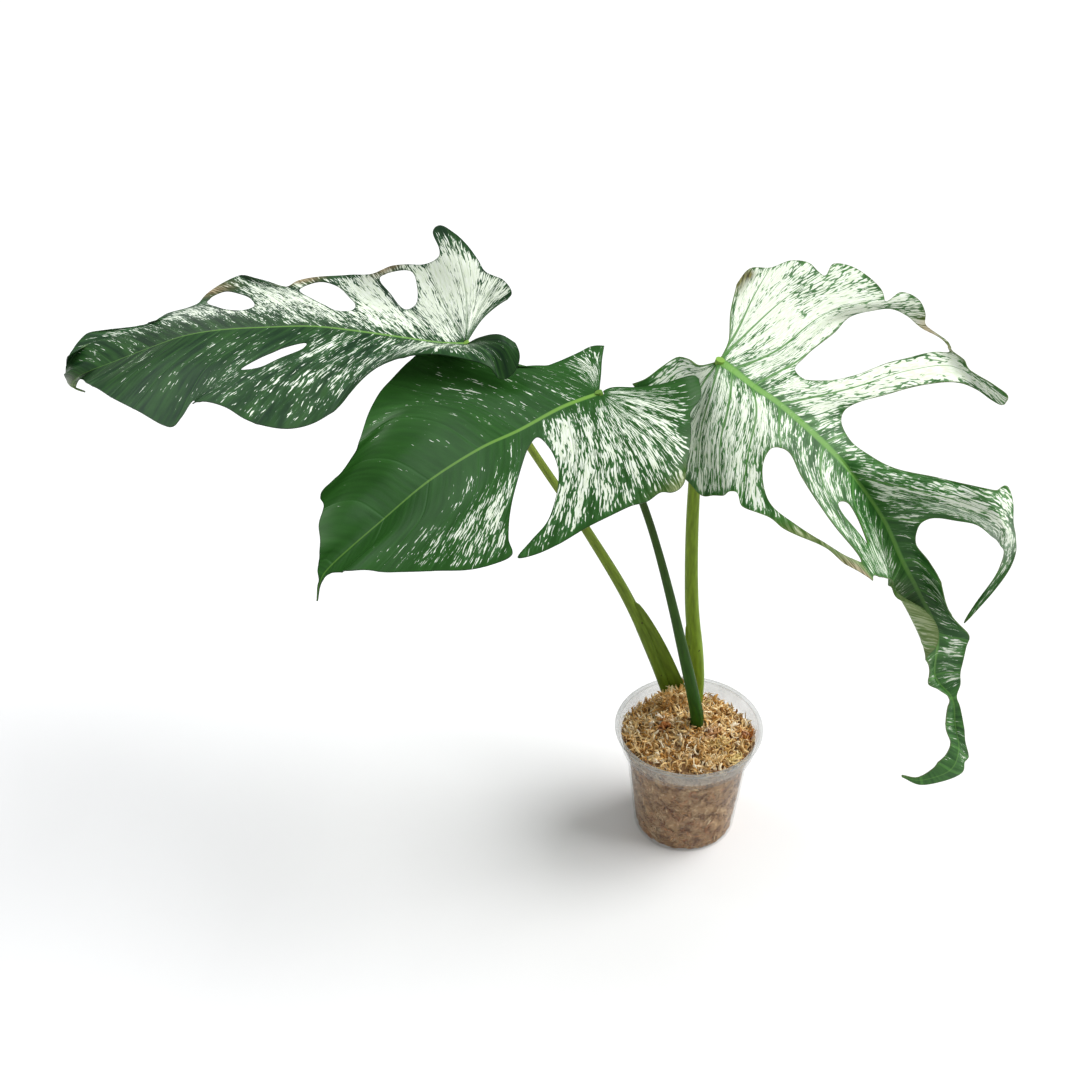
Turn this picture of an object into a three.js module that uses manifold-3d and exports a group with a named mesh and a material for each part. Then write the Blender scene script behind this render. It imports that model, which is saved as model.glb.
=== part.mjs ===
// Potted variegated monstera: three long leaves on tall stalks, rooted in dried moss in a clear pot.
// Millimetres, +Z up, +Y away from the viewer. The origin is the middle of the pot's underside.
import * as THREE from 'three';
import { mergeVertices } from 'three/addons/utils/BufferGeometryUtils.js';
import Module from 'manifold-3d';

const wasm = await Module();
wasm.setup();

// Driving sizes of the pot
const RIM_RADIUS = 60;
const RIM_HEIGHT = 104;
const STEP_HEIGHT = 86;
const STEP_OUTER_RADIUS = 54.5;
const BODY_RADIUS = 50.5;
const FOOT_RADIUS = 41.5;
const WALL = 1.2;
const LIP = 2.2;
const EDGE_BEVEL = 0.8;
const RIM_ROLL = 2.8;
const STEP_RISE = 1.4;
const LEDGE_RISE = 0.4;
const POT_SIDES = 40;
const DRAIN_HOLES = 8;
const DRAIN_RADIUS = 3.5;
const DRAIN_INSET = 10;
const DRAIN_SIDES = 10;

// Driving sizes of the moss and the clearance between neighbouring pieces; the moss lies lower at the back
const MOSS_HEIGHT = 95;
const MOSS_SLOPE = [-0.05, -0.15];
const MOUND_RISE = 15;
const MOUND_CENTRE = [0, 10];
const MOUND_SPREAD = 32;
const MOSS_RINGS = 9;
const CLEARANCE = 0.3;
const WALL_FIT = CLEARANCE + 0.1;

// Waves of the moss's uneven tufts: height, turns per millimetre along X and Y in radians, and start
const TUFTS = [
  [0.5, 0.31, 0.27, 1.3],
  [0.4, 0.53, 0.53, 0.4],
  [0.3, 0.71, -0.62, 1.6],
];

// Driving sizes of the blades: the ribs stand out on the underside
const BLADE = 0.7;
const MIDRIB_RIDGE = 2.6;
const MIDRIB_HALF_WIDTH = 2.6;
const VEIN_RIDGE = 0.7;
const VEIN_HALF_WIDTH = 0.07;
const HUB_NOTCH = 3.6;
const NOTCH_HEADROOM = 2.5;
const FIRST_ROW = 13.4;
const ROW_SPACING = 24;
const LONGEST_RIB = 260;

// Each leaf is given by its ribs, the main side veins, in order from the notch at the stalk to the tip.
// A rib starts at the stalk's joint (hub) or on the midrib (at) and has a few points on each side.
// The far side is the half away from the viewer. Margins and holes are [rib, distance along it].
const LEFT_HUB = [-175, 50, 436];
const LEFT_LEAF = {
  hubRibs: 4,
  ribs: [
    { at: LEFT_HUB, far: [[-163, 72, 444], [-151, 81, 451], [-140, 85, 456]],
      near: [[-164, 36, 451], [-149, 22, 462], [-136, 13, 459]] },
    { at: LEFT_HUB, far: [[-166, 76, 448], [-153, 94, 463], [-148, 100, 467]],
      near: [[-161, 30, 451], [-146, 12, 458], [-138, 4, 446]] },
    { at: LEFT_HUB, far: [[-175, 83, 454], [-181, 106, 474], [-189, 125, 487]],
      near: [[-165, 26, 450], [-155, 11, 450], [-150, 2, 438]] },
    { at: LEFT_HUB, far: [[-189, 77, 447], [-199, 98, 459], [-207, 112, 469]],
      near: [[-180, 27, 448], [-175, 16, 451], [-168, 6, 449]] },
    { at: [-194, 50, 437], far: [[-209, 73, 441], [-221, 89, 447], [-236, 114, 455]],
      near: [[-199, 32, 446], [-207, 20, 451], [-219, 8, 451]] },
    { at: [-219, 49, 442], far: [[-239, 80, 442], [-259, 110, 440], [-275, 136, 442]],
      near: [[-233, 23, 446], [-249, 7, 439], [-266, -26, 429]] },
    { at: [-250, 48, 448], far: [[-272, 80, 444], [-293, 111, 437], [-315, 129, 437]],
      near: [[-274, 21, 446], [-298, -5, 440], [-319, -43, 429]] },
    { at: [-283, 47, 453], far: [[-304, 82, 445], [-325, 120, 435], [-353, 155, 430]],
      near: [[-307, 24, 450], [-330, 2, 444], [-362, -28, 436]] },
    { at: [-317, 46, 453], far: [[-337, 81, 443], [-358, 119, 429], [-381, 138, 423]],
      near: [[-339, 25, 449], [-359, 2, 444], [-376, -44, 427]] },
    { at: [-351, 44, 452], far: [[-369, 76, 442], [-387, 106, 430], [-403, 109, 428]],
      near: [[-370, 25, 448], [-388, 4, 442], [-406, -26, 432]] },
    { at: [-378, 42, 448], far: [[-395, 68, 439], [-410, 86, 432], [-423, 76, 436]],
      near: [[-393, 25, 444], [-408, 10, 440], [-425, -13, 432]] },
    { at: [-404, 40, 439], far: [[-420, 63, 432], [-437, 80, 426], [-455, 83, 425]],
      near: [[-416, 27, 436], [-428, 16, 433], [-441, 4, 430]] },
    { at: [-432, 36, 429], far: [[-446, 54, 426], [-460, 66, 423], [-470, 57, 420]],
      near: [[-439, 28, 427], [-444, 21, 426], [-450, 15, 425]] },
    { at: [-456, 37, 418], far: [[-463, 44, 417], [-468, 48, 414], [-472, 53, 408]],
      near: [[-458, 41, 414], [-459, 43, 411]] },
    { at: [-466, 44, 404], far: [[-468, 46, 403], [-470, 50, 402]],
      near: [[-465, 46, 402], [-463, 46, 402]] },
    { at: [-459, 48, 396], far: [[-460, 48, 397]], near: [[-458, 48, 395]] },
  ],
  farMargin: [
    [0, 50], [0.15, 56], [0.8, 60], [1.4, 62], [1.6, 71], [1.9, 92], [2.1, 99], [2.35, 95], [2.4, 81],
    [2.5, 76], [3.05, 76], [3.45, 82], [3.75, 86], [4.25, 88], [4.75, 100], [5.3, 111], [5.6, 112],
    [5.95, 106],
    [6.1, 124], [6.3, 134], [6.8, 136], [7.35, 132], [7.8, 123], [8.4, 98], [8.8, 87], [9.2, 83],
    [9.75, 66], [10.3, 57], [10.75, 68], [11, 75], [11.3, 72], [11.6, 65], [12, 55], [12.5, 45],
    [12.9, 31], [13.3, 19], [13.8, 13], [14.3, 8], [14.7, 4], [15, 1.5],
  ],
  farHoles: [
    [[4.15, 81], [3.72, 80], [3.4, 74], [3.46, 61], [3.73, 46], [4.13, 43], [4.17, 62]],
    [[5.85, 97], [5.37, 104], [5.17, 94], [5.15, 75], [5.24, 60], [5.6, 45], [5.88, 45], [5.95, 62]],
    [[8.2, 99], [7.82, 114], [7.6, 115], [7.5, 103], [7.5, 84], [7.72, 60], [8.05, 55], [8.35, 68]],
  ],
  nearMargin: [
    [0, 60], [0.5, 68], [1.1, 71], [1.6, 68], [2.1, 62], [2.6, 55], [3.2, 47], [3.7, 46], [4.05, 52],
    [4.4, 64], [4.7, 79], [5, 92], [5.3, 106], [5.6, 114], [5.9, 116], [6.2, 114], [6.5, 109],
    [6.8, 107], [7.25, 106], [7.8, 92], [7.9, 104], [8.05, 112], [8.25, 110], [8.9, 95], [10, 74],
    [10.7, 59], [11.05, 51], [11.5, 38], [11.9, 28], [12.6, 16.5], [13, 11.5], [13.6, 6.5], [14, 4.4],
    [14.5, 2.3], [15, 1],
  ],
  nearHoles: [
    [[7.13, 64], [7.07, 47], [6.85, 31], [6.65, 25], [6.54, 33], [6.7, 48], [6.84, 61]],
  ],
};

const MIDDLE_HUB = [-79, -10, 433];
const MIDDLE_LEAF = {
  hubRibs: 4,
  ribs: [
    { at: MIDDLE_HUB, far: [[-77, 12, 435], [-76, 26, 439], [-74, 39, 443]],
      near: [[-70, -4, 434], [-51, -5, 435], [-35, -4, 437], [-19, 0, 440], [-11, 4, 439], [-7, 3, 436]] },
    { at: MIDDLE_HUB, far: [[-86, 13, 435], [-98, 21, 437], [-109, 24, 438]],
      near: [[-64, -13, 433], [-42, -19, 432], [-18, -25, 431], [-8, -18, 432]] },
    { at: MIDDLE_HUB, far: [[-99, 9, 435], [-121, 18, 437], [-135, 19, 437]],
      near: [[-67, -24, 432], [-44, -45, 426], [-21, -71, 411], [-15, -60, 388]] },
    { at: MIDDLE_HUB, far: [[-117, 12, 435], [-153, 29, 438], [-177, 36, 440]],
      near: [[-75, -34, 430], [-62, -64, 418], [-52, -89, 398]] },
    { at: [-105, -20, 428], far: [[-139, 8, 431], [-179, 28, 435], [-207, 41, 438]],
      near: [[-99, -48, 423], [-97, -72, 411], [-107, -114, 378]] },
    { at: [-135, -34, 418], far: [[-168, -7, 421], [-203, 5, 423], [-232, 13, 426]],
      near: [[-135, -62, 411], [-141, -89, 398], [-157, -127, 369]] },
    { at: [-163, -47, 411], far: [[-192, -20, 414], [-222, -15, 415], [-247, -38, 412]],
      near: [[-164, -80, 402], [-177, -104, 388], [-196, -130, 367]] },
    { at: [-198, -63, 395], far: [[-223, -42, 397], [-244, -42, 398], [-264, -60, 395]],
      near: [[-202, -91, 386], [-216, -109, 374], [-232, -125, 362]] },
    { at: [-229, -80, 375], far: [[-249, -63, 377], [-263, -64, 377], [-277, -74, 376]],
      near: [[-236, -99, 368], [-247, -108, 362], [-257, -117, 357]] },
    { at: [-265, -102, 352], far: [[-270, -98, 353], [-275, -101, 354]],
      near: [[-266, -104, 349.5], [-267, -106, 348]] },
    { at: [-274, -110, 342], far: [[-275, -110, 342]], near: [[-272, -111, 341]] },
    { at: [-277, -111, 326], far: [[-278, -111, 326]], near: [[-276, -111, 326]] },
  ],
  farMargin: [
    [0, 49], [0.25, 53], [0.5, 51], [1.1, 49], [1.6, 50], [1.95, 62], [2.35, 78], [2.7, 93],
    [3, 106], [3.5, 116], [4, 118], [4.45, 113], [4.9, 109], [5.25, 110], [5.6, 111], [5.95, 107],
    [6.45, 90], [6.95, 80], [7.15, 84], [7.5, 74], [7.9, 56], [8.3, 42], [8.7, 23], [9, 12],
    [9.4, 6], [9.8, 2], [10.3, 1], [11, 0.6],
  ],
  farHoles: [],
  nearMargin: [
    [0, 76], [0.5, 75], [1, 74.5], [1.1, 70], [1.2, 69], [1.35, 72], [1.6, 79], [1.95, 88], [2.15, 99],
    [2.4, 97], [2.6, 93], [2.9, 96], [3.15, 95], [3.45, 98], [3.7, 102], [4, 109], [4.3, 112], [4.56, 110],
    [4.44, 100],
    [4.28, 90], [4.24, 77], [4.25, 61], [4.31, 46], [4.44, 30], [4.66, 15], [4.83, 21], [4.93, 33],
    [4.97, 53], [4.92, 72], [4.8, 92], [4.67, 107], [5, 109], [5.45, 108], [6.1, 101], [6.7, 88],
    [7.25, 72.5], [7.67, 63], [8.15, 43.5], [8.35, 32], [8.6, 19.5], [8.9, 9.5], [9.2, 5], [9.85, 1.5],
    [10.2, 1], [11, 0.6],
  ],
  nearHoles: [],
};

const RIGHT_HUB = [8, 20, 441];
const RIGHT_LEAF = {
  hubRibs: 3,
  ribs: [
    { at: RIGHT_HUB, far: [[16, 43, 444], [19, 70, 452], [25, 96, 460]],
      near: [[-7, 19, 438], [-14, 29, 437], [-21, 36, 434], [-32, 33, 428], [-44, 29, 420], [-54, 31, 414]] },
    { at: RIGHT_HUB, far: [[24, 56, 446], [37, 86, 455], [53, 116, 465]],
      near: [[-2, 12, 430], [-13, 4, 413], [-28, 1, 389]] },
    { at: RIGHT_HUB, far: [[33, 56, 445], [61, 87, 453], [95, 114, 461]],
      near: [[2, -2, 432], [-6, -23, 412], [-10, -48, 376]] },
    { at: [17, 14, 437], far: [[50, 36, 439], [90, 76, 446], [136, 91, 451]],
      near: [[13, -15, 429], [6, -40, 408], [7, -65, 380]] },
    { at: [31, 4, 430], far: [[65, 34, 431], [114, 82, 435], [168, 79, 430], [216, 44, 424]],
      near: [[32, -21, 423], [25, -47, 405], [21, -70, 384]] },
    { at: [50, -6, 421], far: [[100, 13, 421], [149, 38, 421], [184, 49, 417], [214, 6, 418]],
      near: [[48, -33, 412], [54, -63, 391], [87, -100, 358]] },
    { at: [81, -26, 401],
      far: [[109, -9, 401], [148, -9, 401], [193, -21, 400], [229, -42, 372], [242, -42, 317],
        [229, -40, 244]],
      near: [[77, -51, 392], [88, -74, 373], [111, -104, 344]] },
    { at: [102, -38, 382],
      far: [[138, -52, 381], [176, -65, 378], [202, -79, 373], [223, -40, 306], [201, -36, 242]],
      near: [[101, -57, 374], [109, -75, 357], [122, -97, 332]] },
    { at: [125, -46, 350],
      far: [[141, -48, 350], [170, -49, 349], [191, -57, 346], [209, -44, 316], [206, -42, 287],
        [190, -40, 257]],
      near: [[123, -61, 341], [127, -71, 331], [132, -81, 317]] },
    { at: [142, -52, 316], far: [[152, -52, 316], [159, -57, 314], [167, -68, 310]],
      near: [[138, -59, 309], [135, -63, 305], [134, -67, 304]] },
    { at: [156, -54, 291], far: [[168, -54, 284], [176, -58, 279], [182, -64, 273]],
      near: [[144, -60, 287], [143, -66, 291], [152, -69, 288], [163, -70, 282]] },
    { at: [175, -56, 250], far: [[186, -54, 244], [193, -53, 242], [200, -53, 240]],
      near: [[164, -61, 246], [164, -67, 248], [173, -69, 247]] },
    { at: [178, -55, 207], far: [[187, -53, 208], [193, -53, 208], [200, -53, 208]],
      near: [[177, -61, 210], [174, -66, 213], [169, -68, 212]] },
    { at: [194, -55, 184], far: [[195, -55, 184], [197, -55, 184], [199, -54, 185]],
      near: [[193, -57, 185], [191, -59, 187], [189, -60, 188]] },
    { at: [200, -56, 157], far: [[203, -58, 158], [205, -58, 157], [208, -58, 156]],
      near: [[197, -58, 159], [194, -60, 161], [191, -62, 163]] },
    { at: [205, -60, 135], far: [[210, -57, 127], [216, -54, 120]],
      near: [[200, -62, 140], [197, -63, 143]] },
    { at: [200, -64, 116], far: [[206, -62, 111], [210, -60, 108]],
      near: [[195, -65, 121], [189, -66, 126]] },
    { at: [178, -67, 108], far: [[179, -67, 104]], near: [[177, -67, 112]] },
    { at: [162, -68, 113], far: [[162, -68, 112]], near: [[162, -68, 114]] },
  ],
  farMargin: [
    [0, 80], [0.35, 98], [1, 105], [1.35, 120], [1.65, 126], [1.9, 124], [2.06, 124], [1.95, 138],
    [2.18, 146], [2.5, 148], [2.8, 147], [3.1, 143], [2.97, 158], [3.2, 167], [3.6, 171],
    [3.88, 169], [4.04, 176], [4.13, 180.5], [4.31, 177], [4.5, 171], [4.62, 174.5], [4.88, 166],
    [4.88, 190], [4.93, 202], [5.1, 192], [5.2, 172], [5.22, 155], [5.23, 123], [5.29, 77], [5.35, 52],
    [5.52, 35], [5.84, 23], [6.22, 20], [6.51, 28], [6.64, 38], [6.68, 68], [6.67, 89], [6.6, 113],
    [6.42, 134], [6.56, 138], [6.78, 140], [6.88, 160], [6.84, 188], [6.8, 214], [6.9, 240],
    [7.04, 254], [7.12, 230], [7.13, 190], [7.2, 150], [7.4, 120], [7.72, 98], [7.81, 73],
    [7.93, 54], [7.98, 34], [8.15, 24], [8.58, 17], [8.77, 26], [8.96, 35], [9.44, 36],
    [10.09, 33], [10.8, 31], [11.2, 25], [11.8, 22], [12.2, 19], [12.7, 12], [13, 4.5], [13.4, 5.5],
    [14, 8], [14.5, 10], [15, 19], [15.15, 17], [15.4, 12.5], [16, 13.5], [16.5, 8.5], [17, 5.5],
    [17.5, 3], [18, 0.8],
  ],
  farHoles: [
    [[4.16, 39], [4.01, 58], [3.98, 97], [3.52, 128], [3.42, 143], [3.72, 157], [3.97, 163],
      [4.15, 175.5], [4.31, 174], [4.46, 168], [4.58, 164], [4.72, 151], [4.81, 123], [4.81, 99],
      [4.79, 67], [4.68, 47], [4.48, 36]],
  ],
  nearMargin: [
    [0, 77], [0.5, 72], [1.2, 80], [1.8, 94], [2.15, 101], [2.55, 100], [3.05, 98], [3.58, 89],
    [3.84, 87], [3.98, 94], [4.26, 97], [4.42, 100], [4.54, 108], [4.66, 113], [4.89, 121],
    [5.03, 133], [5.25, 134], [5.6, 126], [6.1, 104], [6.7, 88], [7.2, 73], [7.7, 57], [8.3, 43],
    [8.8, 25], [9.1, 22], [9.5, 32], [10, 39], [11, 28], [11.6, 13], [12, 16.5], [12.15, 17.5], [12.6, 12],
    [13, 5], [13.4, 9], [14, 12], [14.5, 14], [15, 11.5], [15.5, 13], [16, 15], [16.4, 11], [17, 4],
    [18, 0.8],
  ],
  nearHoles: [
    [[4.8, 41], [5.25, 35], [5.39, 47], [5.56, 63], [5.67, 82], [5.88, 94], [5.75, 105],
      [5.13, 122], [4.88, 114], [4.66, 101], [4.48, 90], [4.41, 77], [4.45, 58], [4.63, 46]],
    [[6.26, 43], [6.75, 31], [6.9, 36], [6.86, 58], [6.69, 57], [6.28, 51]],
  ],
};

// Centre lines of the leaf stalks, from inside the moss into the notch of each blade, with radii along them
const STALKS = {
  left: {
    route: [[-9, 27, 84], [-18.5, 36, 116], [-48, 39, 198], [-82, 42, 266], [-129, 44, 350],
      [-175.5, 50.5, 437.5]],
    radii: [5.5, 7.5, 6.5, 3.6, 3.2, 3.0],
  },
  middle: {
    route: [[4, 12, 84], [6, -2, 110], [-13, -8, 209], [-32, -10, 291], [-44, -10, 333],
      [-79.5, -10, 434.5]],
    radii: [6, 5.2, 3.8, 3, 2.8, 2.8],
  },
  right: {
    route: [[7, 34, 84], [8, 36, 121], [-0.5, 34, 207], [-4, 31, 308], [-2, 25, 392], [8.5, 19.5, 442.5]],
    radii: [6, 7, 5.4, 5, 4.4, 3.4],
  },
};
const STALK_SIDES = 12;
const STALK_STEPS = 26;
const SHEATH_WIDTH = 1.35;
const SHEATH_LENGTH = 0.35;

// The short upright stem and its roots, all inside the moss
const STEM_ROUTE = [[-2, 16, 58], [-1, 22, 82], [0, 27, 100]];
const STEM_RADIUS = 8;
const STEM_WAIST = 0.75;
const ROOT_COUNT = 7;
const ROOT_RADIUS = 2.2;
const ROOT_REACH = 30;
const ROOT_END_HEIGHT = 12;
const ROOT_END_STAGGER = 5;
const ROOT_TAPER = 0.55;
const ROOT_SWIRL = 0.5;
const ROOT_SPREAD = 0.35;
const ROOT_SHORTEST = 0.5;
const ROOT_DROP = 0.6;
const ROOT_SIDES = 6;
const ROOT_STEPS = 8;
const STEM_SIDES = 16;
const STEM_STEPS = 8;

const vector = ([x, y, z]) => new THREE.Vector3(x, y, z);

// A position along one rib: a smooth curve through its points, straight on past the last one.
function alongRib(rib, distance) {
  const { knots, points } = rib;
  const last = points.length - 1;
  const slope = (i) => {
    const a = Math.max(0, i - 1);
    const b = Math.min(last, i + 1);
    return points[b].clone().sub(points[a]).divideScalar(knots[b] - knots[a]);
  };
  if (distance >= knots[last]) {
    return points[last].clone().addScaledVector(slope(last), distance - knots[last]);
  }
  let i = 0;
  while (distance > knots[i + 1]) i += 1;
  const span = knots[i + 1] - knots[i];
  const u = (distance - knots[i]) / span;
  return points[i].clone().multiplyScalar((1 + 2 * u) * (1 - u) ** 2)
    .addScaledVector(slope(i), span * u * (1 - u) ** 2)
    .addScaledVector(points[i + 1], u * u * (3 - 2 * u))
    .addScaledVector(slope(i + 1), span * u * u * (u - 1));
}

// One half of a blade as a smooth sheet over its ribs.
class HalfBlade {
  constructor(ribs, side) {
    this.ribs = ribs.map((rib) => {
      const points = [rib.at, ...rib[side]].map(vector);
      const knots = [0];
      for (let i = 1; i < points.length; i += 1) {
        knots.push(knots[i - 1] + points[i].distanceTo(points[i - 1]));
      }
      return { knots, points };
    });
  }

  rib(i, distance) {
    const last = this.ribs.length - 1;
    if (i < 0) return this.rib(0, distance).multiplyScalar(2).sub(this.rib(1, distance));
    if (i > last) return this.rib(last, distance).multiplyScalar(2).sub(this.rib(last - 1, distance));
    return alongRib(this.ribs[i], distance);
  }

  point(t, distance) {
    const i = Math.min(this.ribs.length - 2, Math.max(0, Math.floor(t)));
    const u = t - i;
    const weights = [
      (-u + 2 * u * u - u ** 3) / 2,
      (2 - 5 * u * u + 3 * u ** 3) / 2,
      (u + 4 * u * u - 3 * u ** 3) / 2,
      (u ** 3 - u * u) / 2,
    ];
    const sum = new THREE.Vector3();
    weights.forEach((weight, j) => sum.addScaledVector(this.rib(i - 1 + j, distance), weight));
    return sum;
  }
}

// The outline and holes of a half blade in rib space, with the material always on the left.
function flatPattern(margin, holes, hubRibs, tipRib) {
  const hub = hubRibs - 1;
  const outline = [[0, HUB_NOTCH], ...margin, [tipRib, 0], [hub, 0], [hub, HUB_NOTCH]];
  const directed = (loop, clockwise) => {
    const points = loop.map(([t, s]) => new THREE.Vector2(t, s));
    return THREE.ShapeUtils.isClockWise(points) === clockwise ? points : points.reverse();
  };
  return [directed(outline, false), ...holes.map((hole) => directed(hole, true))];
}

// Cuts a region, given as loops, along the line where one coordinate has the given value.
function splitAtLine(loops, axis, value) {
  const along = axis === 'x' ? 'y' : 'x';
  const isAbove = (p) => p[axis] > value - 1e-7;
  const sides = [[], []];
  const chains = [[], []];
  const crossings = [];
  for (const loop of loops) {
    const first = loop.findIndex((p, i) => isAbove(p) !== isAbove(loop.at(i - 1)));
    if (first < 0) {
      sides[Number(isAbove(loop[0]))].push(loop);
      continue;
    }
    const cuts = [];
    let chain = null;
    for (let i = 0; i < loop.length; i += 1) {
      const p = loop[(first + i) % loop.length];
      const before = loop.at((first + i - 1) % loop.length);
      if (isAbove(p) !== isAbove(before)) {
        const share = (value - before[axis]) / (p[axis] - before[axis]);
        const cut = before.clone().lerp(p, THREE.MathUtils.clamp(share, 0, 1));
        crossings.push(cut);
        if (chain) chain.points.push(cut);
        chain = { side: Number(isAbove(p)), points: [cut] };
        cuts.push(chain);
      }
      chain.points.push(p);
    }
    chain.points.push(cuts[0].points[0]);
    cuts.forEach(({ side, points }) => chains[side].push(points));
  }
  crossings.sort((p, q) => p[along] - q[along]);
  for (const side of [0, 1]) {
    const open = new Set(chains[side]);
    while (open.size) {
      const [start] = open;
      const ring = [];
      let chain = start;
      while (chain && open.has(chain)) {
        open.delete(chain);
        ring.push(...chain);
        const partner = crossings[crossings.indexOf(chain.at(-1)) ^ 1];
        chain = chains[side].find((candidate) => candidate[0] === partner);
      }
      const tidy = ring.filter((p, i) => p.distanceTo(ring.at(i - 1)) > 1e-6);
      if (tidy.length > 2) sides[side].push(tidy);
    }
  }
  return sides.filter((region) => region.length);
}

// Triangles of a small region of a half blade, as triples of points in rib space.
function regionTriangles(loops) {
  const outers = loops.filter((loop) => !THREE.ShapeUtils.isClockWise(loop));
  const holes = loops.filter((loop) => THREE.ShapeUtils.isClockWise(loop));
  return outers.flatMap((outer) => {
    const inside = outers.length === 1 ? holes : [];
    const points = [outer, ...inside].flat();
    return THREE.ShapeUtils.triangulateShape(outer, inside).map((face) => face.map((i) => points[i]));
  });
}

// How far the ribs stand out under the blade at a place in rib space.
function ridge(t, distance, tipRib) {
  const fade = 1 - 0.75 * (t / tipRib);
  const midrib = MIDRIB_RIDGE * fade * Math.max(0, 1 - distance / MIDRIB_HALF_WIDTH);
  const vein = VEIN_RIDGE * fade * Math.max(0, 1 - Math.abs(t - Math.round(t)) / VEIN_HALF_WIDTH);
  return Math.max(midrib, vein);
}

// A whole blade: both halves joined along the midrib, given thickness and closed along every edge.
function bladeGeometry(leaf) {
  const tipRib = leaf.ribs.length - 1;
  const top = [];
  const ridges = [];
  const faces = [];
  const welded = new Map();
  const weld = (point, height) => {
    const key = point.toArray().map((v) => v.toFixed(3)).join(' ');
    if (!welded.has(key)) {
      welded.set(key, top.length);
      top.push(point);
      ridges.push(height);
    }
    return welded.get(key);
  };
  for (const side of ['far', 'near']) {
    const half = new HalfBlade(leaf.ribs, side);
    const pattern = flatPattern(leaf[`${side}Margin`], leaf[`${side}Holes`], leaf.hubRibs, tipRib);
    let regions = [pattern];
    const split = (axis, value) => {
      regions = regions.flatMap((region) => splitAtLine(region, axis, value));
    };
    for (let t = 0; t <= tipRib; t += 1) {
      for (const line of [t - VEIN_HALF_WIDTH, t, t + VEIN_HALF_WIDTH, t + 0.5]) split('x', line);
    }
    split('y', MIDRIB_HALF_WIDTH);
    for (let s = FIRST_ROW; s < LONGEST_RIB; s += ROW_SPACING) split('y', s);
    for (const triangle of regions.flatMap(regionTriangles)) {
      const face = triangle.map((p) => weld(half.point(p.x, p.y), ridge(p.x, p.y, tipRib)));
      if (new Set(face).size < 3) continue;
      faces.push(side === 'far' ? face.reverse() : face);
    }
  }
  const upward = vertexNormals(top, faces).reduce((sum, normal) => sum + normal.z, 0);
  if (upward < 0) faces.forEach((face) => face.reverse());
  return thicken(top, ridges, faces);
}

function vertexNormals(points, faces) {
  const normals = points.map(() => new THREE.Vector3());
  for (const [a, b, c] of faces) {
    const cross = points[b].clone().sub(points[a]).cross(points[c].clone().sub(points[a]));
    for (const i of [a, b, c]) normals[i].add(cross);
  }
  return normals.map((normal) => normal.normalize());
}

// Turns a sheet into a closed solid: same triangles above and below, and a wall along each open edge.
function thicken(points, ridges, faces) {
  const normals = vertexNormals(points, faces);
  const count = points.length;
  const above = points.map((p, i) => p.clone().addScaledVector(normals[i], BLADE / 2));
  const below = points.map((p, i) => p.clone().addScaledVector(normals[i], -BLADE / 2 - ridges[i]));
  const solid = [...faces, ...faces.map(([a, b, c]) => [count + a, count + c, count + b])];
  const edges = new Set(faces.flatMap(([a, b, c]) => [`${a}_${b}`, `${b}_${c}`, `${c}_${a}`]));
  for (const edge of edges) {
    const [a, b] = edge.split('_').map(Number);
    if (edges.has(`${b}_${a}`)) continue;
    solid.push([b, a, count + a], [b, count + a, count + b]);
  }
  const geometry = new THREE.BufferGeometry();
  const positions = [...above, ...below].flatMap((p) => p.toArray());
  geometry.setAttribute('position', new THREE.Float32BufferAttribute(positions, 3));
  geometry.setIndex(solid.flat());
  return geometry;
}

// A round-ended rod along a smooth route; sectionAt gives its two half-widths at each share of the way.
function rodGeometry(route, sectionAt, sides, steps) {
  const curve = new THREE.CatmullRomCurve3(route.map(vector));
  const frames = curve.computeFrenetFrames(steps, false);
  const positions = [];
  const index = [];
  for (let i = 0; i <= steps; i += 1) {
    const centre = curve.getPointAt(i / steps);
    const [wide, deep] = sectionAt(i / steps);
    for (let j = 0; j < sides; j += 1) {
      const angle = (2 * Math.PI * j) / sides;
      const point = centre.clone()
        .addScaledVector(frames.normals[i], wide * Math.cos(angle))
        .addScaledVector(frames.binormals[i], deep * Math.sin(angle));
      positions.push(...point.toArray());
    }
  }
  for (let i = 0; i < steps; i += 1) {
    for (let j = 0; j < sides; j += 1) {
      const a = i * sides + j;
      const b = i * sides + ((j + 1) % sides);
      index.push(a, b, a + sides, b, b + sides, a + sides);
    }
  }
  for (const end of [0, steps]) {
    const hub = positions.length / 3;
    positions.push(...curve.getPointAt(end / steps).toArray());
    for (let j = 0; j < sides; j += 1) {
      const a = end * sides + j;
      const b = end * sides + ((j + 1) % sides);
      index.push(...(end === 0 ? [hub, b, a] : [hub, a, b]));
    }
  }
  const geometry = new THREE.BufferGeometry();
  geometry.setAttribute('position', new THREE.Float32BufferAttribute(positions, 3));
  geometry.setIndex(index);
  return geometry;
}

// A stalk with its sheath; extra makes the room round it.
function stalkGeometry({ route, radii }, extra = 0) {
  const radiusAt = (u) => {
    const place = u * (radii.length - 1);
    const i = Math.min(radii.length - 2, Math.floor(place));
    return THREE.MathUtils.lerp(radii[i], radii[i + 1], place - i) + extra;
  };
  const sectionAt = (u) => {
    const sheath = Math.max(0, 1 - u / SHEATH_LENGTH);
    const radius = radiusAt(u);
    return [radius * (1 + (SHEATH_WIDTH - 1) * Math.sin(Math.PI * sheath)), radius];
  };
  return rodGeometry(route, sectionAt, STALK_SIDES, STALK_STEPS);
}

// A profile of [radius, height] points turned round the upright axis.
function turned(profile, sides) {
  const points = profile.map(([radius, height]) => new THREE.Vector2(radius, height));
  const geometry = new THREE.LatheGeometry(points, sides);
  return geometry.rotateX(Math.PI / 2);
}

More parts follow.
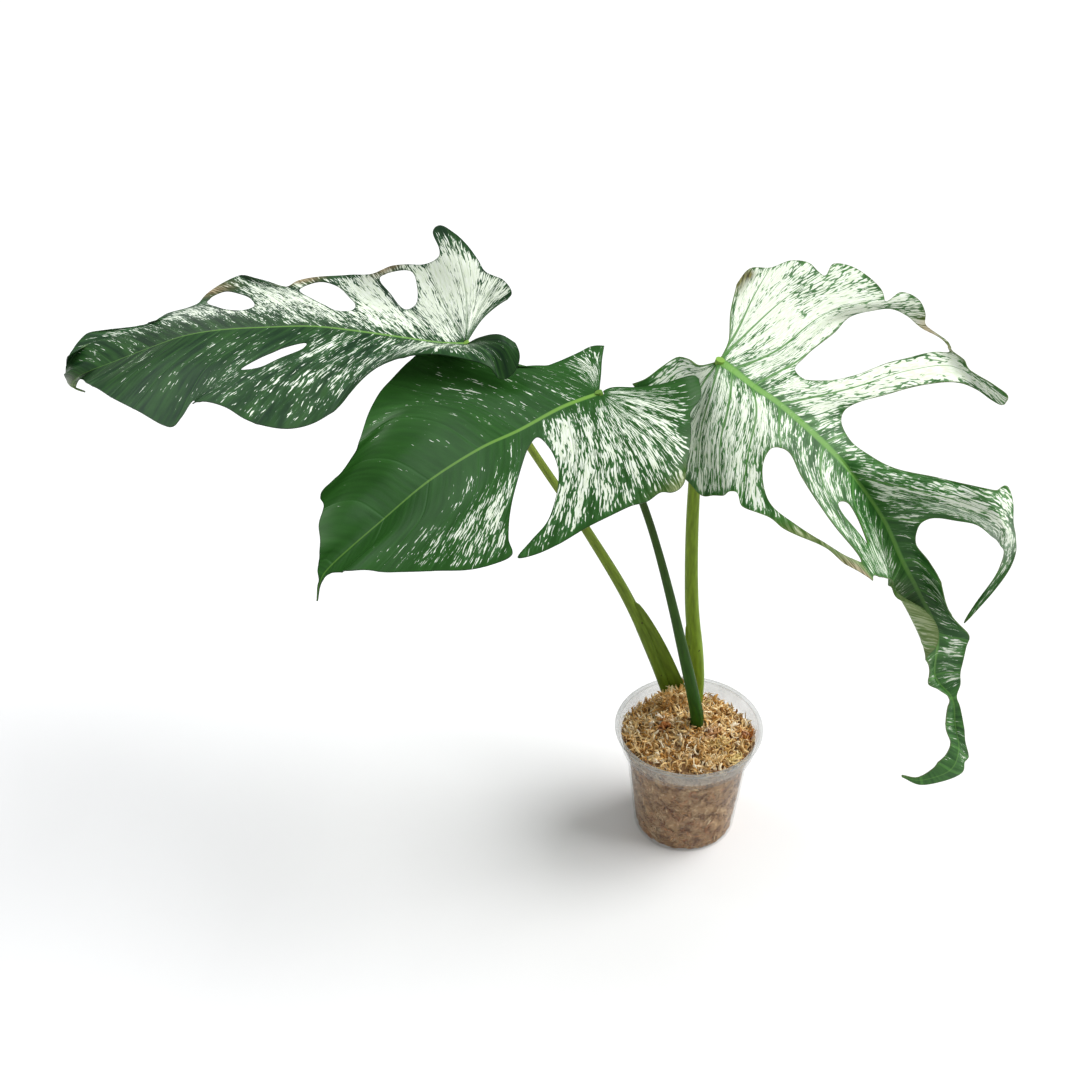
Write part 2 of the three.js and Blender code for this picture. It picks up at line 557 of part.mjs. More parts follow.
// Closed meshes to solids for cutting and joining, and back.
function toSolid(geometry) {
  const bare = geometry.clone();
  bare.deleteAttribute('normal');
  bare.deleteAttribute('uv');
  const merged = mergeVertices(bare, 1e-3);
  const triangles = [];
  const index = merged.index.array;
  for (let i = 0; i < index.length; i += 3) {
    const [a, b, c] = [index[i], index[i + 1], index[i + 2]];
    if (a !== b && b !== c && c !== a) triangles.push(a, b, c);
  }
  return new wasm.Manifold(new wasm.Mesh({
    numProp: 3,
    vertProperties: new Float32Array(merged.attributes.position.array),
    triVerts: new Uint32Array(triangles),
  }));
}

function toGeometry(solid) {
  const { vertProperties, triVerts } = solid.getMesh();
  const geometry = new THREE.BufferGeometry();
  geometry.setAttribute('position', new THREE.Float32BufferAttribute(vertProperties, 3));
  geometry.setIndex(new THREE.Uint32BufferAttribute(triVerts, 1));
  return geometry;
}

// The inside radius of the pot at a height above its floor.
function innerRadius(height) {
  if (height > STEP_HEIGHT) {
    const share = (height - STEP_HEIGHT) / (RIM_HEIGHT - STEP_HEIGHT);
    return THREE.MathUtils.lerp(STEP_OUTER_RADIUS, RIM_RADIUS - LIP, share) - WALL;
  }
  return THREE.MathUtils.lerp(FOOT_RADIUS, BODY_RADIUS, height / STEP_HEIGHT) - WALL;
}

function potGeometry() {
  const outer = [
    [0, 0],
    [FOOT_RADIUS - EDGE_BEVEL, 0],
    [FOOT_RADIUS, EDGE_BEVEL],
    [BODY_RADIUS, STEP_HEIGHT - EDGE_BEVEL - STEP_RISE],
    [STEP_OUTER_RADIUS, STEP_HEIGHT - EDGE_BEVEL],
    [RIM_RADIUS - LIP, RIM_HEIGHT - RIM_ROLL],
    [RIM_RADIUS - EDGE_BEVEL, RIM_HEIGHT - RIM_ROLL],
    [RIM_RADIUS, RIM_HEIGHT - RIM_ROLL + EDGE_BEVEL],
    [RIM_RADIUS, RIM_HEIGHT - EDGE_BEVEL],
    [RIM_RADIUS - EDGE_BEVEL, RIM_HEIGHT],
  ];
  const inner = [
    [innerRadius(RIM_HEIGHT), RIM_HEIGHT],
    [innerRadius(STEP_HEIGHT + LEDGE_RISE), STEP_HEIGHT + LEDGE_RISE],
    [innerRadius(STEP_HEIGHT), STEP_HEIGHT - EDGE_BEVEL],
    [innerRadius(WALL), WALL],
    [0, WALL],
  ];
  let pot = toSolid(turned([...outer, ...inner], POT_SIDES));
  for (let i = 0; i < DRAIN_HOLES; i += 1) {
    const angle = (2 * Math.PI * (i + 0.5)) / DRAIN_HOLES;
    const reach = FOOT_RADIUS - DRAIN_INSET;
    const drill = new THREE.CylinderGeometry(DRAIN_RADIUS, DRAIN_RADIUS, 3 * WALL, DRAIN_SIDES);
    drill.rotateX(Math.PI / 2).translate(reach * Math.cos(angle), reach * Math.sin(angle), WALL / 2);
    pot = pot.subtract(toSolid(drill));
  }
  return toGeometry(pot);
}

// Height of the moss: a sloping bed with a soft mound at the stalks, and uneven tufts.
function mossHeight(x, y) {
  const away = Math.hypot(x - MOUND_CENTRE[0], y - MOUND_CENTRE[1]) / MOUND_SPREAD;
  const mound = MOUND_RISE * Math.exp(-away * away);
  const wave = (total, [height, alongX, alongY, start]) => (
    total + height * Math.sin(alongX * x + alongY * y + start)
  );
  const bed = MOSS_HEIGHT + MOSS_SLOPE[0] * x + MOSS_SLOPE[1] * y;
  return bed + mound + TUFTS.reduce(wave, 0);
}

function mossGeometry() {
  const floor = WALL + CLEARANCE;
  const ledge = STEP_HEIGHT + LEDGE_RISE + CLEARANCE;
  const wall = [
    [innerRadius(floor) - WALL_FIT, floor],
    [innerRadius(STEP_HEIGHT) - WALL_FIT, STEP_HEIGHT - EDGE_BEVEL],
    [innerRadius(STEP_HEIGHT) - WALL_FIT, ledge],
    [innerRadius(ledge) - WALL_FIT, ledge + LEDGE_RISE],
  ];
  const ledgeRadius = innerRadius(ledge);
  const edgeRadius = (angle) => {
    const height = mossHeight(ledgeRadius * Math.cos(angle), ledgeRadius * Math.sin(angle));
    return innerRadius(height) - WALL_FIT;
  };
  const positions = [0, 0, floor];
  const addRing = (radiusAt, heightAt) => {
    for (let j = 0; j < POT_SIDES; j += 1) {
      const angle = (2 * Math.PI * j) / POT_SIDES;
      const x = radiusAt(angle) * Math.cos(angle);
      const y = radiusAt(angle) * Math.sin(angle);
      positions.push(x, y, heightAt(x, y));
    }
  };
  wall.forEach(([radius, height]) => addRing(() => radius, () => height));
  for (let i = MOSS_RINGS; i >= 1; i -= 1) {
    addRing((angle) => (edgeRadius(angle) * i) / MOSS_RINGS, mossHeight);
  }
  positions.push(0, 0, mossHeight(0, 0));
  const rings = wall.length + MOSS_RINGS;
  const index = [];
  for (let j = 0; j < POT_SIDES; j += 1) {
    const next = (j + 1) % POT_SIDES;
    index.push(0, 1 + next, 1 + j);
    for (let i = 0; i < rings - 1; i += 1) {
      const a = 1 + i * POT_SIDES + j;
      const b = 1 + i * POT_SIDES + next;
      index.push(a, b, a + POT_SIDES, b, b + POT_SIDES, a + POT_SIDES);
    }
    const last = 1 + (rings - 1) * POT_SIDES;
    index.push(last + j, last + next, last + POT_SIDES);
  }
  const geometry = new THREE.BufferGeometry();
  geometry.setAttribute('position', new THREE.Float32BufferAttribute(positions, 3));
  geometry.setIndex(index);
  return geometry;
}

// The stem with its roots; extra makes the room that the moss leaves round it.
function stemSolid(extra) {
  const thickness = (u) => STEM_RADIUS * THREE.MathUtils.lerp(STEM_WAIST, 1, Math.sin(Math.PI * u)) + extra;
  const stemSection = (u) => [thickness(u), thickness(u)];
  let solid = toSolid(rodGeometry(STEM_ROUTE, stemSection, STEM_SIDES, STEM_STEPS));
  const [startX, startY, startZ] = STEM_ROUTE[0];
  const rootTop = startZ + STEM_RADIUS * STEM_WAIST;
  for (let i = 0; i < ROOT_COUNT; i += 1) {
    const angle = (2 * Math.PI * i) / ROOT_COUNT + ROOT_SPREAD * Math.sin(5 * i);
    const reach = ROOT_REACH * THREE.MathUtils.lerp(ROOT_SHORTEST, 1, (1 + Math.cos(3 * i)) / 2);
    const end = ROOT_END_HEIGHT + (i % 3) * ROOT_END_STAGGER;
    const route = [0, 1 / 3, 2 / 3, 1].map((u) => [
      startX * (1 - u) + reach * Math.sqrt(u) * Math.cos(angle + ROOT_SWIRL * u),
      startY * (1 - u) + reach * Math.sqrt(u) * Math.sin(angle + ROOT_SWIRL * u),
      THREE.MathUtils.lerp(rootTop, end, THREE.MathUtils.lerp(u * u, u, ROOT_DROP)),
    ]);
    const radius = (u) => ROOT_RADIUS * (1 - ROOT_TAPER * u) + extra;
    const rootSection = (u) => [radius(u), radius(u)];
    solid = solid.add(toSolid(rodGeometry(route, rootSection, ROOT_SIDES, ROOT_STEPS)));
  }
  return solid;
}

function material(colour, roughness, extras = {}) {
  return new THREE.MeshStandardMaterial({ color: colour, roughness, metalness: 0, ...extras });
}

function piece(name, geometry, finish) {
  const mesh = new THREE.Mesh(geometry, finish);
  mesh.name = name;
  return mesh;
}

const stem = stemSolid(0);
const stemRoom = stemSolid(CLEARANCE);
const leaves = { left: LEFT_LEAF, middle: MIDDLE_LEAF, right: RIGHT_LEAF };

// A blade with the notch that the top of its stalk fits into.
function bladeSolid(leaf, stalk) {
  const room = toSolid(stalkGeometry(stalk, CLEARANCE));
  const [before, end] = stalk.route.slice(-2).map(vector);
  const past = room.translate(end.sub(before).setLength(NOTCH_HEADROOM).toArray());
  const cut = toSolid(bladeGeometry(leaf)).subtract(room).subtract(past);
  return cut.decompose().sort((a, b) => b.volume() - a.volume())[0];
}

let moss = toSolid(mossGeometry()).subtract(stemRoom);
for (const stalk of Object.values(STALKS)) moss = moss.subtract(toSolid(stalkGeometry(stalk, CLEARANCE)));

const plant = new THREE.Group();
plant.add(piece('pot', potGeometry(), material('#cdd3d4', 0.35, { transparent: true, opacity: 0.5 })));
plant.add(piece('moss', toGeometry(moss), material('#c8a468', 0.95)));
plant.add(piece('stem', toGeometry(stem), material('#6f7f35', 0.6)));
for (const [name, leaf] of Object.entries(leaves)) {
  const stalk = toSolid(stalkGeometry(STALKS[name])).subtract(stemRoom);
  const blade = bladeSolid(leaf, STALKS[name]);
  plant.add(piece(`petiole_${name}`, toGeometry(stalk), material('#5f7d24', 0.45)));
  plant.add(piece(`leaf_${name}`, toGeometry(blade), material('#4f7a44', 0.4)));
}

export default plant;
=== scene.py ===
"""Potted variegated monstera: finer blades, stalks, pot and moss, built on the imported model's frame."""

import math
import random

import bmesh
import bpy
from mathutils import Matrix, Vector, kdtree, noise


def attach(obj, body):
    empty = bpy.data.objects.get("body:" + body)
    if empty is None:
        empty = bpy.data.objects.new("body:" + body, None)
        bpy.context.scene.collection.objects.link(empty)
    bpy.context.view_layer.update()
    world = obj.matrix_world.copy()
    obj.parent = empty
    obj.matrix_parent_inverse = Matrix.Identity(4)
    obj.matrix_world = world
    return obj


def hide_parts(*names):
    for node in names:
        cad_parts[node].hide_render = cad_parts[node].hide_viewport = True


bl_info = {
    "name": "Potted variegated monstera",
    "version": (1, 0, 0),
    "blender": (4, 5, 0),
    "location": "3D View > Sidebar > Monstera",
    "description": "Builds a variegated monstera in a clear nursery pot filled with dried moss",
    "category": "Object",
}

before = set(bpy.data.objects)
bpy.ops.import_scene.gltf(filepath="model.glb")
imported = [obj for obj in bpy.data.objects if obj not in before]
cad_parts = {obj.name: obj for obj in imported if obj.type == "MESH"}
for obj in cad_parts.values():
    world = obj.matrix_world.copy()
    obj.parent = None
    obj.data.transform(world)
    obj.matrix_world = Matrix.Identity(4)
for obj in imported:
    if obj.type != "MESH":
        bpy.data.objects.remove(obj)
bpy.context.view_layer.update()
MM = 0.001

# The blades in millimetres: thickness, and how far midrib and side veins stand out underneath. A side vein's
# half width is a share of the gap to the next one.
BLADE = 0.7
MIDRIB_RIDGE = 2.6
MIDRIB_HALF_WIDTH = 2.6
VEIN_RIDGE = 0.7
VEIN_HALF_WIDTH = 0.07
# The notch at the stalk, how far the midrib stands out on top, and how far the blade puffs up between its
# side veins and waves, all in millimetres.
HUB_NOTCH = 3.6
TOP_MIDRIB = 0.35
PUFF = 0.22
LOOSE_WAVE = 0.3
# The ridges lose this share toward the tip. Puffs and waves grow over these distances from the midrib, and
# with these distances between side veins.
RIDGE_TAPER = 0.75
PANEL_REACH = (3, 20)
PANEL_PITCH = (4, 18)
WAVES_PER_METRE = 35
FAR_FROM_EDGE = 20.0

# The flat pattern of a half blade: metres for one side vein, cells and fine veins from one side vein to the
# next, metres between the cuts across them and between points of the margin.
FLAT_PITCH = 0.03
CELLS_PER_VEIN = 8
FINE_VEINS = 7
CELL_REACH = 0.003
MARGIN_STEP = 0.0016
# How near points count as one, in metres, where the pattern is cut and where the halves are joined, and how
# far to each side of a place, in side veins, the distance between side veins is measured.
CUT_TOLERANCE = 1e-7
SEAM_GAP = 2e-5
PITCH_STEP = 0.2

# The markings: noise drawn out along the veins, (across, along, 1) in millimetres with its detail and its
# share in the whole, how far the pattern is bent, in waves per millimetre and millimetres, and the levels of
# the noise above which an all green or all white place is white. The rim is greener by the last share.
STREAKS = ((1.15, 16, 1), 3.0, 0.45)
PATCHES = ((6, 42, 1), 2.0, 0.27)
FLECKS = ((0.7, 7, 1), 2.0, 0.28)
BEND_WAVES = (0.09, 0.06, 1)
BEND_SIZE = (3.2, 2.5, 0)
ALL_GREEN_LEVEL = 0.65
ALL_WHITE_LEVEL = 0.37
RIM_GREEN = 0.25
# Dark and light ends of the olive, dried and scorched places. Olive is the underside's colour at curled tips,
# and painted shade in the right leaf's folds.
OLIVE_UNDERSIDE_AND_FOLD_SHADE = ("#46601C", "#A5B07E")
DRIED = ("#5A4A2A", "#B9AA88")
SCORCHED = ("#2E2A16", "#7C7A45")

# The pot in millimetres, as in the solid model.
RIM_RADIUS = 60
RIM_HEIGHT = 104
STEP_HEIGHT = 86
STEP_OUTER_RADIUS = 54.5
BODY_RADIUS = 50.5
FOOT_RADIUS = 41.5
WALL = 1.2
LIP = 2.2
ROLL_HALF_WIDTH = 1.1
ROLL_HALF_HEIGHT = 1.4

# How milky the plastic is where damp moss presses on it and on the dry collar, and the thicker rings at the
# step and the rim: (height, half width, added haze).
CLEAR_HAZE = 0.045
DRY_HAZE = 0.27
MILKY_RINGS = ((STEP_HEIGHT - 0.5, 1.6, 0.16), (RIM_HEIGHT - 1, 1.8, 0.2))

# The moss in millimetres, as in the solid model: it lies lower at the back, with a mound at the stalks.
MOSS_HEIGHT = 95
MOSS_SLOPE = (-0.05, -0.15)
MOUND_RISE = 15
MOUND_CENTRE = (0, 10)
MOUND_SPREAD = 32
MOSS_CLEARANCE = 0.4
# How far the moss reaches from the pot's axis on top, and how deep and over what distances its edge sinks.
MOSS_REACH = 53
EDGE_SINK = 2.5
EDGE_BAND = (46, 54)
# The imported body: its faces round and rings down the top, the collar and the wall, its lowest height, how far
# it stays under the loose bits and off the wall, and its rough surface.
CORE_SEGMENTS = 160
TOP_RINGS = 30
COLLAR_RINGS = 6
WALL_RINGS = 40
CORE_FLOOR = 2
CORE_UNDER = 1.2
CORE_INSET = 0.8
CORE_WALL_INSET = 0.6
CORE_ROUGHNESS = 0.5
CORE_WAVES_PER_METRE = 260
# One bit of moss: its length, its radius with how thick it is from place to place, and the length of its side
# threads with the places that they leave from.
SPRIG_SHAPES = 12
SPRIG_LENGTH = (11, 20)
SPRIG_RADIUS = (0.85, 1.4)
SPRIG_WIDTHS = (0.5, 0.9, 1.1, 1, 1.1, 0.9, 0.7, 0.25)
THREAD_LENGTH = (3, 6)
THREAD_PLACES = (2, 4, 5)
# Bits on top: their height over the bed, tilt in radians, sizes and tones. Those past the bed's share climb
# the left stalk, up to the tuft's height.
TOP_LIFT = (-1.6, 3)
TOP_TILT = 0.75
TOP_SIZES = (0.65, 1.15)
TOP_TONE = (0.6, 0.28)
BED_SHARE = 0.88
TUFT_HEIGHT = 17
# Bits at the wall: the share on the dry collar, the tones there and below, how flat they are pressed, their
# sizes and how far they stay off the wall.
DRY_SHARE = 0.25
DRY_TONE = 0.8
DAMP_TONE = 0.25
TONE_SPREAD = 0.12
WALL_FLATNESS = 0.2
WALL_SIZES = (0.8, 1.5)
WALL_INSET = 0.9
# Rusty and pale yellow bits among the moss, and the tuft that climbs the left stalk: (x, y, radius).
RUSTY_MOSS = [(47, -3, 5), (-20, -5, 5), (16, -11, 4)]
YELLOW_MOSS = [(22, -20, 6), (35, -36, 6), (-12, 34, 8)]
CLIMBING_TUFT = (-12, 24, 5)
MOSS_TINTS = ("tone", "rust", "straw")

# Each leaf is given by its side veins in order from the notch at the stalk to the tip, in millimetres. A vein
# has a few points on each side and starts on the midrib, or at the stalk's joint where it is one of the first
# "hub_ribs" veins. Margins and holes are [vein, distance along it]. White patches are (vein, distance, spread
# over veins, spread along them, share), and dry, scorched and olive places are the same without a share.
# Distances on the near side are below zero there.
LEFT_HUB = [-175, 50, 436]
LEFT_LEAF = {
    "hub_ribs": 4,
    "ribs": [
        {"at": LEFT_HUB, "far": [[-163, 72, 444], [-151, 81, 451], [-140, 85, 456]],
            "near": [[-164, 36, 451], [-149, 22, 462], [-136, 13, 459]]},
        {"at": LEFT_HUB, "far": [[-166, 76, 448], [-153, 94, 463], [-148, 100, 467]],
            "near": [[-161, 30, 451], [-146, 12, 458], [-138, 4, 446]]},
        {"at": LEFT_HUB, "far": [[-175, 83, 454], [-181, 106, 474], [-189, 125, 487]],
            "near": [[-165, 26, 450], [-155, 11, 450], [-150, 2, 438]]},
        {"at": LEFT_HUB, "far": [[-189, 77, 447], [-199, 98, 459], [-207, 112, 469]],
            "near": [[-180, 27, 448], [-175, 16, 451], [-168, 6, 449]]},
        {"at": [-194, 50, 437], "far": [[-209, 73, 441], [-221, 89, 447], [-236, 114, 455]],
            "near": [[-199, 32, 446], [-207, 20, 451], [-219, 8, 451]]},
        {"at": [-219, 49, 442], "far": [[-239, 80, 442], [-259, 110, 440], [-275, 136, 442]],
            "near": [[-233, 23, 446], [-249, 7, 439], [-266, -26, 429]]},
        {"at": [-250, 48, 448], "far": [[-272, 80, 444], [-293, 111, 437], [-315, 129, 437]],
            "near": [[-274, 21, 446], [-298, -5, 440], [-319, -43, 429]]},
        {"at": [-283, 47, 453], "far": [[-304, 82, 445], [-325, 120, 435], [-353, 155, 430]],
            "near": [[-307, 24, 450], [-330, 2, 444], [-362, -28, 436]]},
        {"at": [-317, 46, 453], "far": [[-337, 81, 443], [-358, 119, 429], [-381, 138, 423]],
            "near": [[-339, 25, 449], [-359, 2, 444], [-376, -44, 427]]},
        {"at": [-351, 44, 452], "far": [[-369, 76, 442], [-387, 106, 430], [-403, 109, 428]],
            "near": [[-370, 25, 448], [-388, 4, 442], [-406, -26, 432]]},
        {"at": [-378, 42, 448], "far": [[-395, 68, 439], [-410, 86, 432], [-423, 76, 436]],
            "near": [[-393, 25, 444], [-408, 10, 440], [-425, -13, 432]]},
        {"at": [-404, 40, 439], "far": [[-420, 63, 432], [-437, 80, 426], [-455, 83, 425]],
            "near": [[-416, 27, 436], [-428, 16, 433], [-441, 4, 430]]},
        {"at": [-432, 36, 429], "far": [[-446, 54, 426], [-460, 66, 423], [-470, 57, 420]],
            "near": [[-439, 28, 427], [-444, 21, 426], [-450, 15, 425]]},
        {"at": [-456, 37, 418], "far": [[-463, 44, 417], [-468, 48, 414], [-472, 53, 408]],
            "near": [[-458, 41, 414], [-459, 43, 411]]},
        {"at": [-466, 44, 404], "far": [[-468, 46, 403], [-470, 50, 402]],
            "near": [[-465, 46, 402], [-463, 46, 402]]},
        {"at": [-459, 48, 396], "far": [[-460, 48, 397]], "near": [[-458, 48, 395]]},
    ],
    "far_margin": [
        [0, 50], [0.15, 56], [0.8, 60], [1.4, 62], [1.6, 71], [1.9, 92], [2.1, 99], [2.35, 95], [2.4, 81],
        [2.5, 76], [3.05, 76], [3.45, 82], [3.75, 86], [4.25, 88], [4.75, 100], [5.3, 111], [5.6, 112],
        [5.95, 106], [6.1, 124], [6.3, 134], [6.8, 136], [7.35, 132], [7.8, 123], [8.4, 98], [8.8, 87],
        [9.2, 83], [9.75, 66], [10.3, 57], [10.75, 68], [11, 75], [11.3, 72], [11.6, 65], [12, 55],
        [12.5, 45], [12.9, 31], [13.3, 19], [13.8, 13], [14.3, 8], [14.7, 4], [15, 1.5],
    ],
    "far_holes": [
        [[4.15, 81], [3.72, 80], [3.4, 74], [3.46, 61], [3.73, 46], [4.13, 43], [4.17, 62]],
        [[5.85, 97], [5.37, 104], [5.17, 94], [5.15, 75], [5.24, 60], [5.6, 45], [5.88, 45], [5.95, 62]],
        [[8.2, 99], [7.82, 114], [7.6, 115], [7.5, 103], [7.5, 84], [7.72, 60], [8.05, 55], [8.35, 68]],
    ],
    "near_margin": [
        [0, 60], [0.5, 68], [1.1, 71], [1.6, 68], [2.1, 62], [2.6, 55], [3.2, 47], [3.7, 46], [4.05, 52],
        [4.4, 64], [4.7, 79], [5, 92], [5.3, 106], [5.6, 114], [5.9, 116], [6.2, 114], [6.5, 109],
        [6.8, 107], [7.25, 106], [7.8, 92], [7.9, 104], [8.05, 112], [8.25, 110], [8.9, 95], [10, 74],
        [10.7, 59], [11.05, 51], [11.5, 38], [11.9, 28], [12.6, 16.5], [13, 11.5], [13.6, 6.5], [14, 4.4],
        [14.5, 2.3], [15, 1],
    ],
    "near_holes": [
        [[7.13, 64], [7.07, 47], [6.85, 31], [6.65, 25], [6.54, 33], [6.7, 48], [6.84, 61]],
    ],
    "base_white": 0.22,
    "white": [
        (0.9, 45, 1.6, 70, 0.52), (2.7, 60, 1.2, 70, 0.46), (1.9, 90, 0.5, 28, -0.3), (4.5, 60, 1.5, 70, 0.5),
        (6.5, 80, 1.5, 70, 0.42), (8.4, 75, 1.4, 45, 0.3), (10.5, 60, 1.5, 30, 0.25),
        (4.2, -32, 1.8, 30, 0.14), (6.7, -55, 1.2, 45, 0.12), (5, -80, 1.8, 50, 0.09),
        (9.5, -50, 1.5, 60, -0.08), (13, 0, 1.2, 60, -0.06), (1.2, -45, 1.4, 40, -0.16),
    ],
    "dry": [(3.85, 86, 0.4, 4), (5.6, 111, 0.35, 5), (7.75, 124, 0.4, 9)],
    "scorch": [],
    "olive": [(14.5, 0, 0.9, 14)],
}

MIDDLE_HUB = [-79, -10, 433]
MIDDLE_LEAF = {
    "hub_ribs": 4,
    "ribs": [
        {"at": MIDDLE_HUB, "far": [[-77, 12, 435], [-76, 26, 439], [-74, 39, 443]],
            "near": [[-70, -4, 434], [-51, -5, 435], [-35, -4, 437], [-19, 0, 440], [-11, 4, 439],
                [-7, 3, 436]]},
        {"at": MIDDLE_HUB, "far": [[-86, 13, 435], [-98, 21, 437], [-109, 24, 438]],
            "near": [[-64, -13, 433], [-42, -19, 432], [-18, -25, 431], [-8, -18, 432]]},
        {"at": MIDDLE_HUB, "far": [[-99, 9, 435], [-121, 18, 437], [-135, 19, 437]],
            "near": [[-67, -24, 432], [-44, -45, 426], [-21, -71, 411], [-15, -60, 388]]},
        {"at": MIDDLE_HUB, "far": [[-117, 12, 435], [-153, 29, 438], [-177, 36, 440]],
            "near": [[-75, -34, 430], [-62, -64, 418], [-52, -89, 398]]},
        {"at": [-105, -20, 428], "far": [[-139, 8, 431], [-179, 28, 435], [-207, 41, 438]],
            "near": [[-99, -48, 423], [-97, -72, 411], [-107, -114, 378]]},
        {"at": [-135, -34, 418], "far": [[-168, -7, 421], [-203, 5, 423], [-232, 13, 426]],
            "near": [[-135, -62, 411], [-141, -89, 398], [-157, -127, 369]]},
        {"at": [-163, -47, 411], "far": [[-192, -20, 414], [-222, -15, 415], [-247, -38, 412]],
            "near": [[-164, -80, 402], [-177, -104, 388], [-196, -130, 367]]},
        {"at": [-198, -63, 395], "far": [[-223, -42, 397], [-244, -42, 398], [-264, -60, 395]],
            "near": [[-202, -91, 386], [-216, -109, 374], [-232, -125, 362]]},
        {"at": [-229, -80, 375], "far": [[-249, -63, 377], [-263, -64, 377], [-277, -74, 376]],
            "near": [[-236, -99, 368], [-247, -108, 362], [-257, -117, 357]]},
        {"at": [-265, -102, 352], "far": [[-270, -98, 353], [-275, -101, 354]],
            "near": [[-266, -104, 349.5], [-267, -106, 348]]},
        {"at": [-274, -110, 342], "far": [[-275, -110, 342]], "near": [[-272, -111, 341]]},
        {"at": [-277, -111, 326], "far": [[-278, -111, 326]], "near": [[-276, -111, 326]]},
    ],
    "far_margin": [
        [0, 49], [0.25, 53], [0.5, 51], [1.1, 49], [1.6, 50], [1.95, 62], [2.35, 78], [2.7, 93], [3, 106],
        [3.5, 116], [4, 118], [4.45, 113], [4.9, 109], [5.25, 110], [5.6, 111], [5.95, 107], [6.45, 90],
        [6.95, 80], [7.15, 84], [7.5, 74], [7.9, 56], [8.3, 42], [8.7, 23], [9, 12], [9.4, 6], [9.8, 2],
        [10.3, 1], [11, 0.6],
    ],
    "far_holes": [],
    "near_margin": [
        [0, 76], [0.5, 75], [1, 74.5], [1.1, 70], [1.2, 69], [1.35, 72], [1.6, 79], [1.95, 88],
        [2.15, 99], [2.4, 97], [2.6, 93], [2.9, 96], [3.15, 95], [3.45, 98], [3.7, 102], [4, 109],
        [4.3, 112], [4.56, 110], [4.44, 100], [4.28, 90], [4.24, 77], [4.25, 61], [4.31, 46], [4.44, 30],
        [4.66, 15], [4.83, 21], [4.93, 33], [4.97, 53], [4.92, 72], [4.8, 92], [4.67, 107], [5, 109],
        [5.45, 108], [6.1, 101], [6.7, 88], [7.25, 72.5], [7.67, 63], [8.15, 43.5], [8.35, 32],
        [8.6, 19.5], [8.9, 9.5], [9.2, 5], [9.85, 1.5], [10.2, 1], [11, 0.6],
    ],
    "near_holes": [],
    "base_white": 0.13,
    "white": [
        (0.4, 30, 0.8, 40, 0.42), (1.4, -42, 1.3, 64, 0.46), (3.2, -58, 1.0, 66, 0.42),
        (4.1, -50, 0.5, 60, 0.36), (5.0, -70, 0.7, 60, 0.4), (6.2, -80, 0.9, 34, 0.22),
        # The first patch on the next line clears the white from the flap folded over at the near basal lobe:
        # painted shade, plain green where the flap turns from the light.
        (0.3, -75, 0.7, 11, -0.75), (8.6, 0, 1.6, 60, -0.13), (4.4, 60, 1.6, 50, 0.13),
        (6.2, -55, 0.9, 45, 0.08),
    ],
    "dry": [],
    "scorch": [],
    "olive": [(2.2, -97, 0.5, 9)],
}

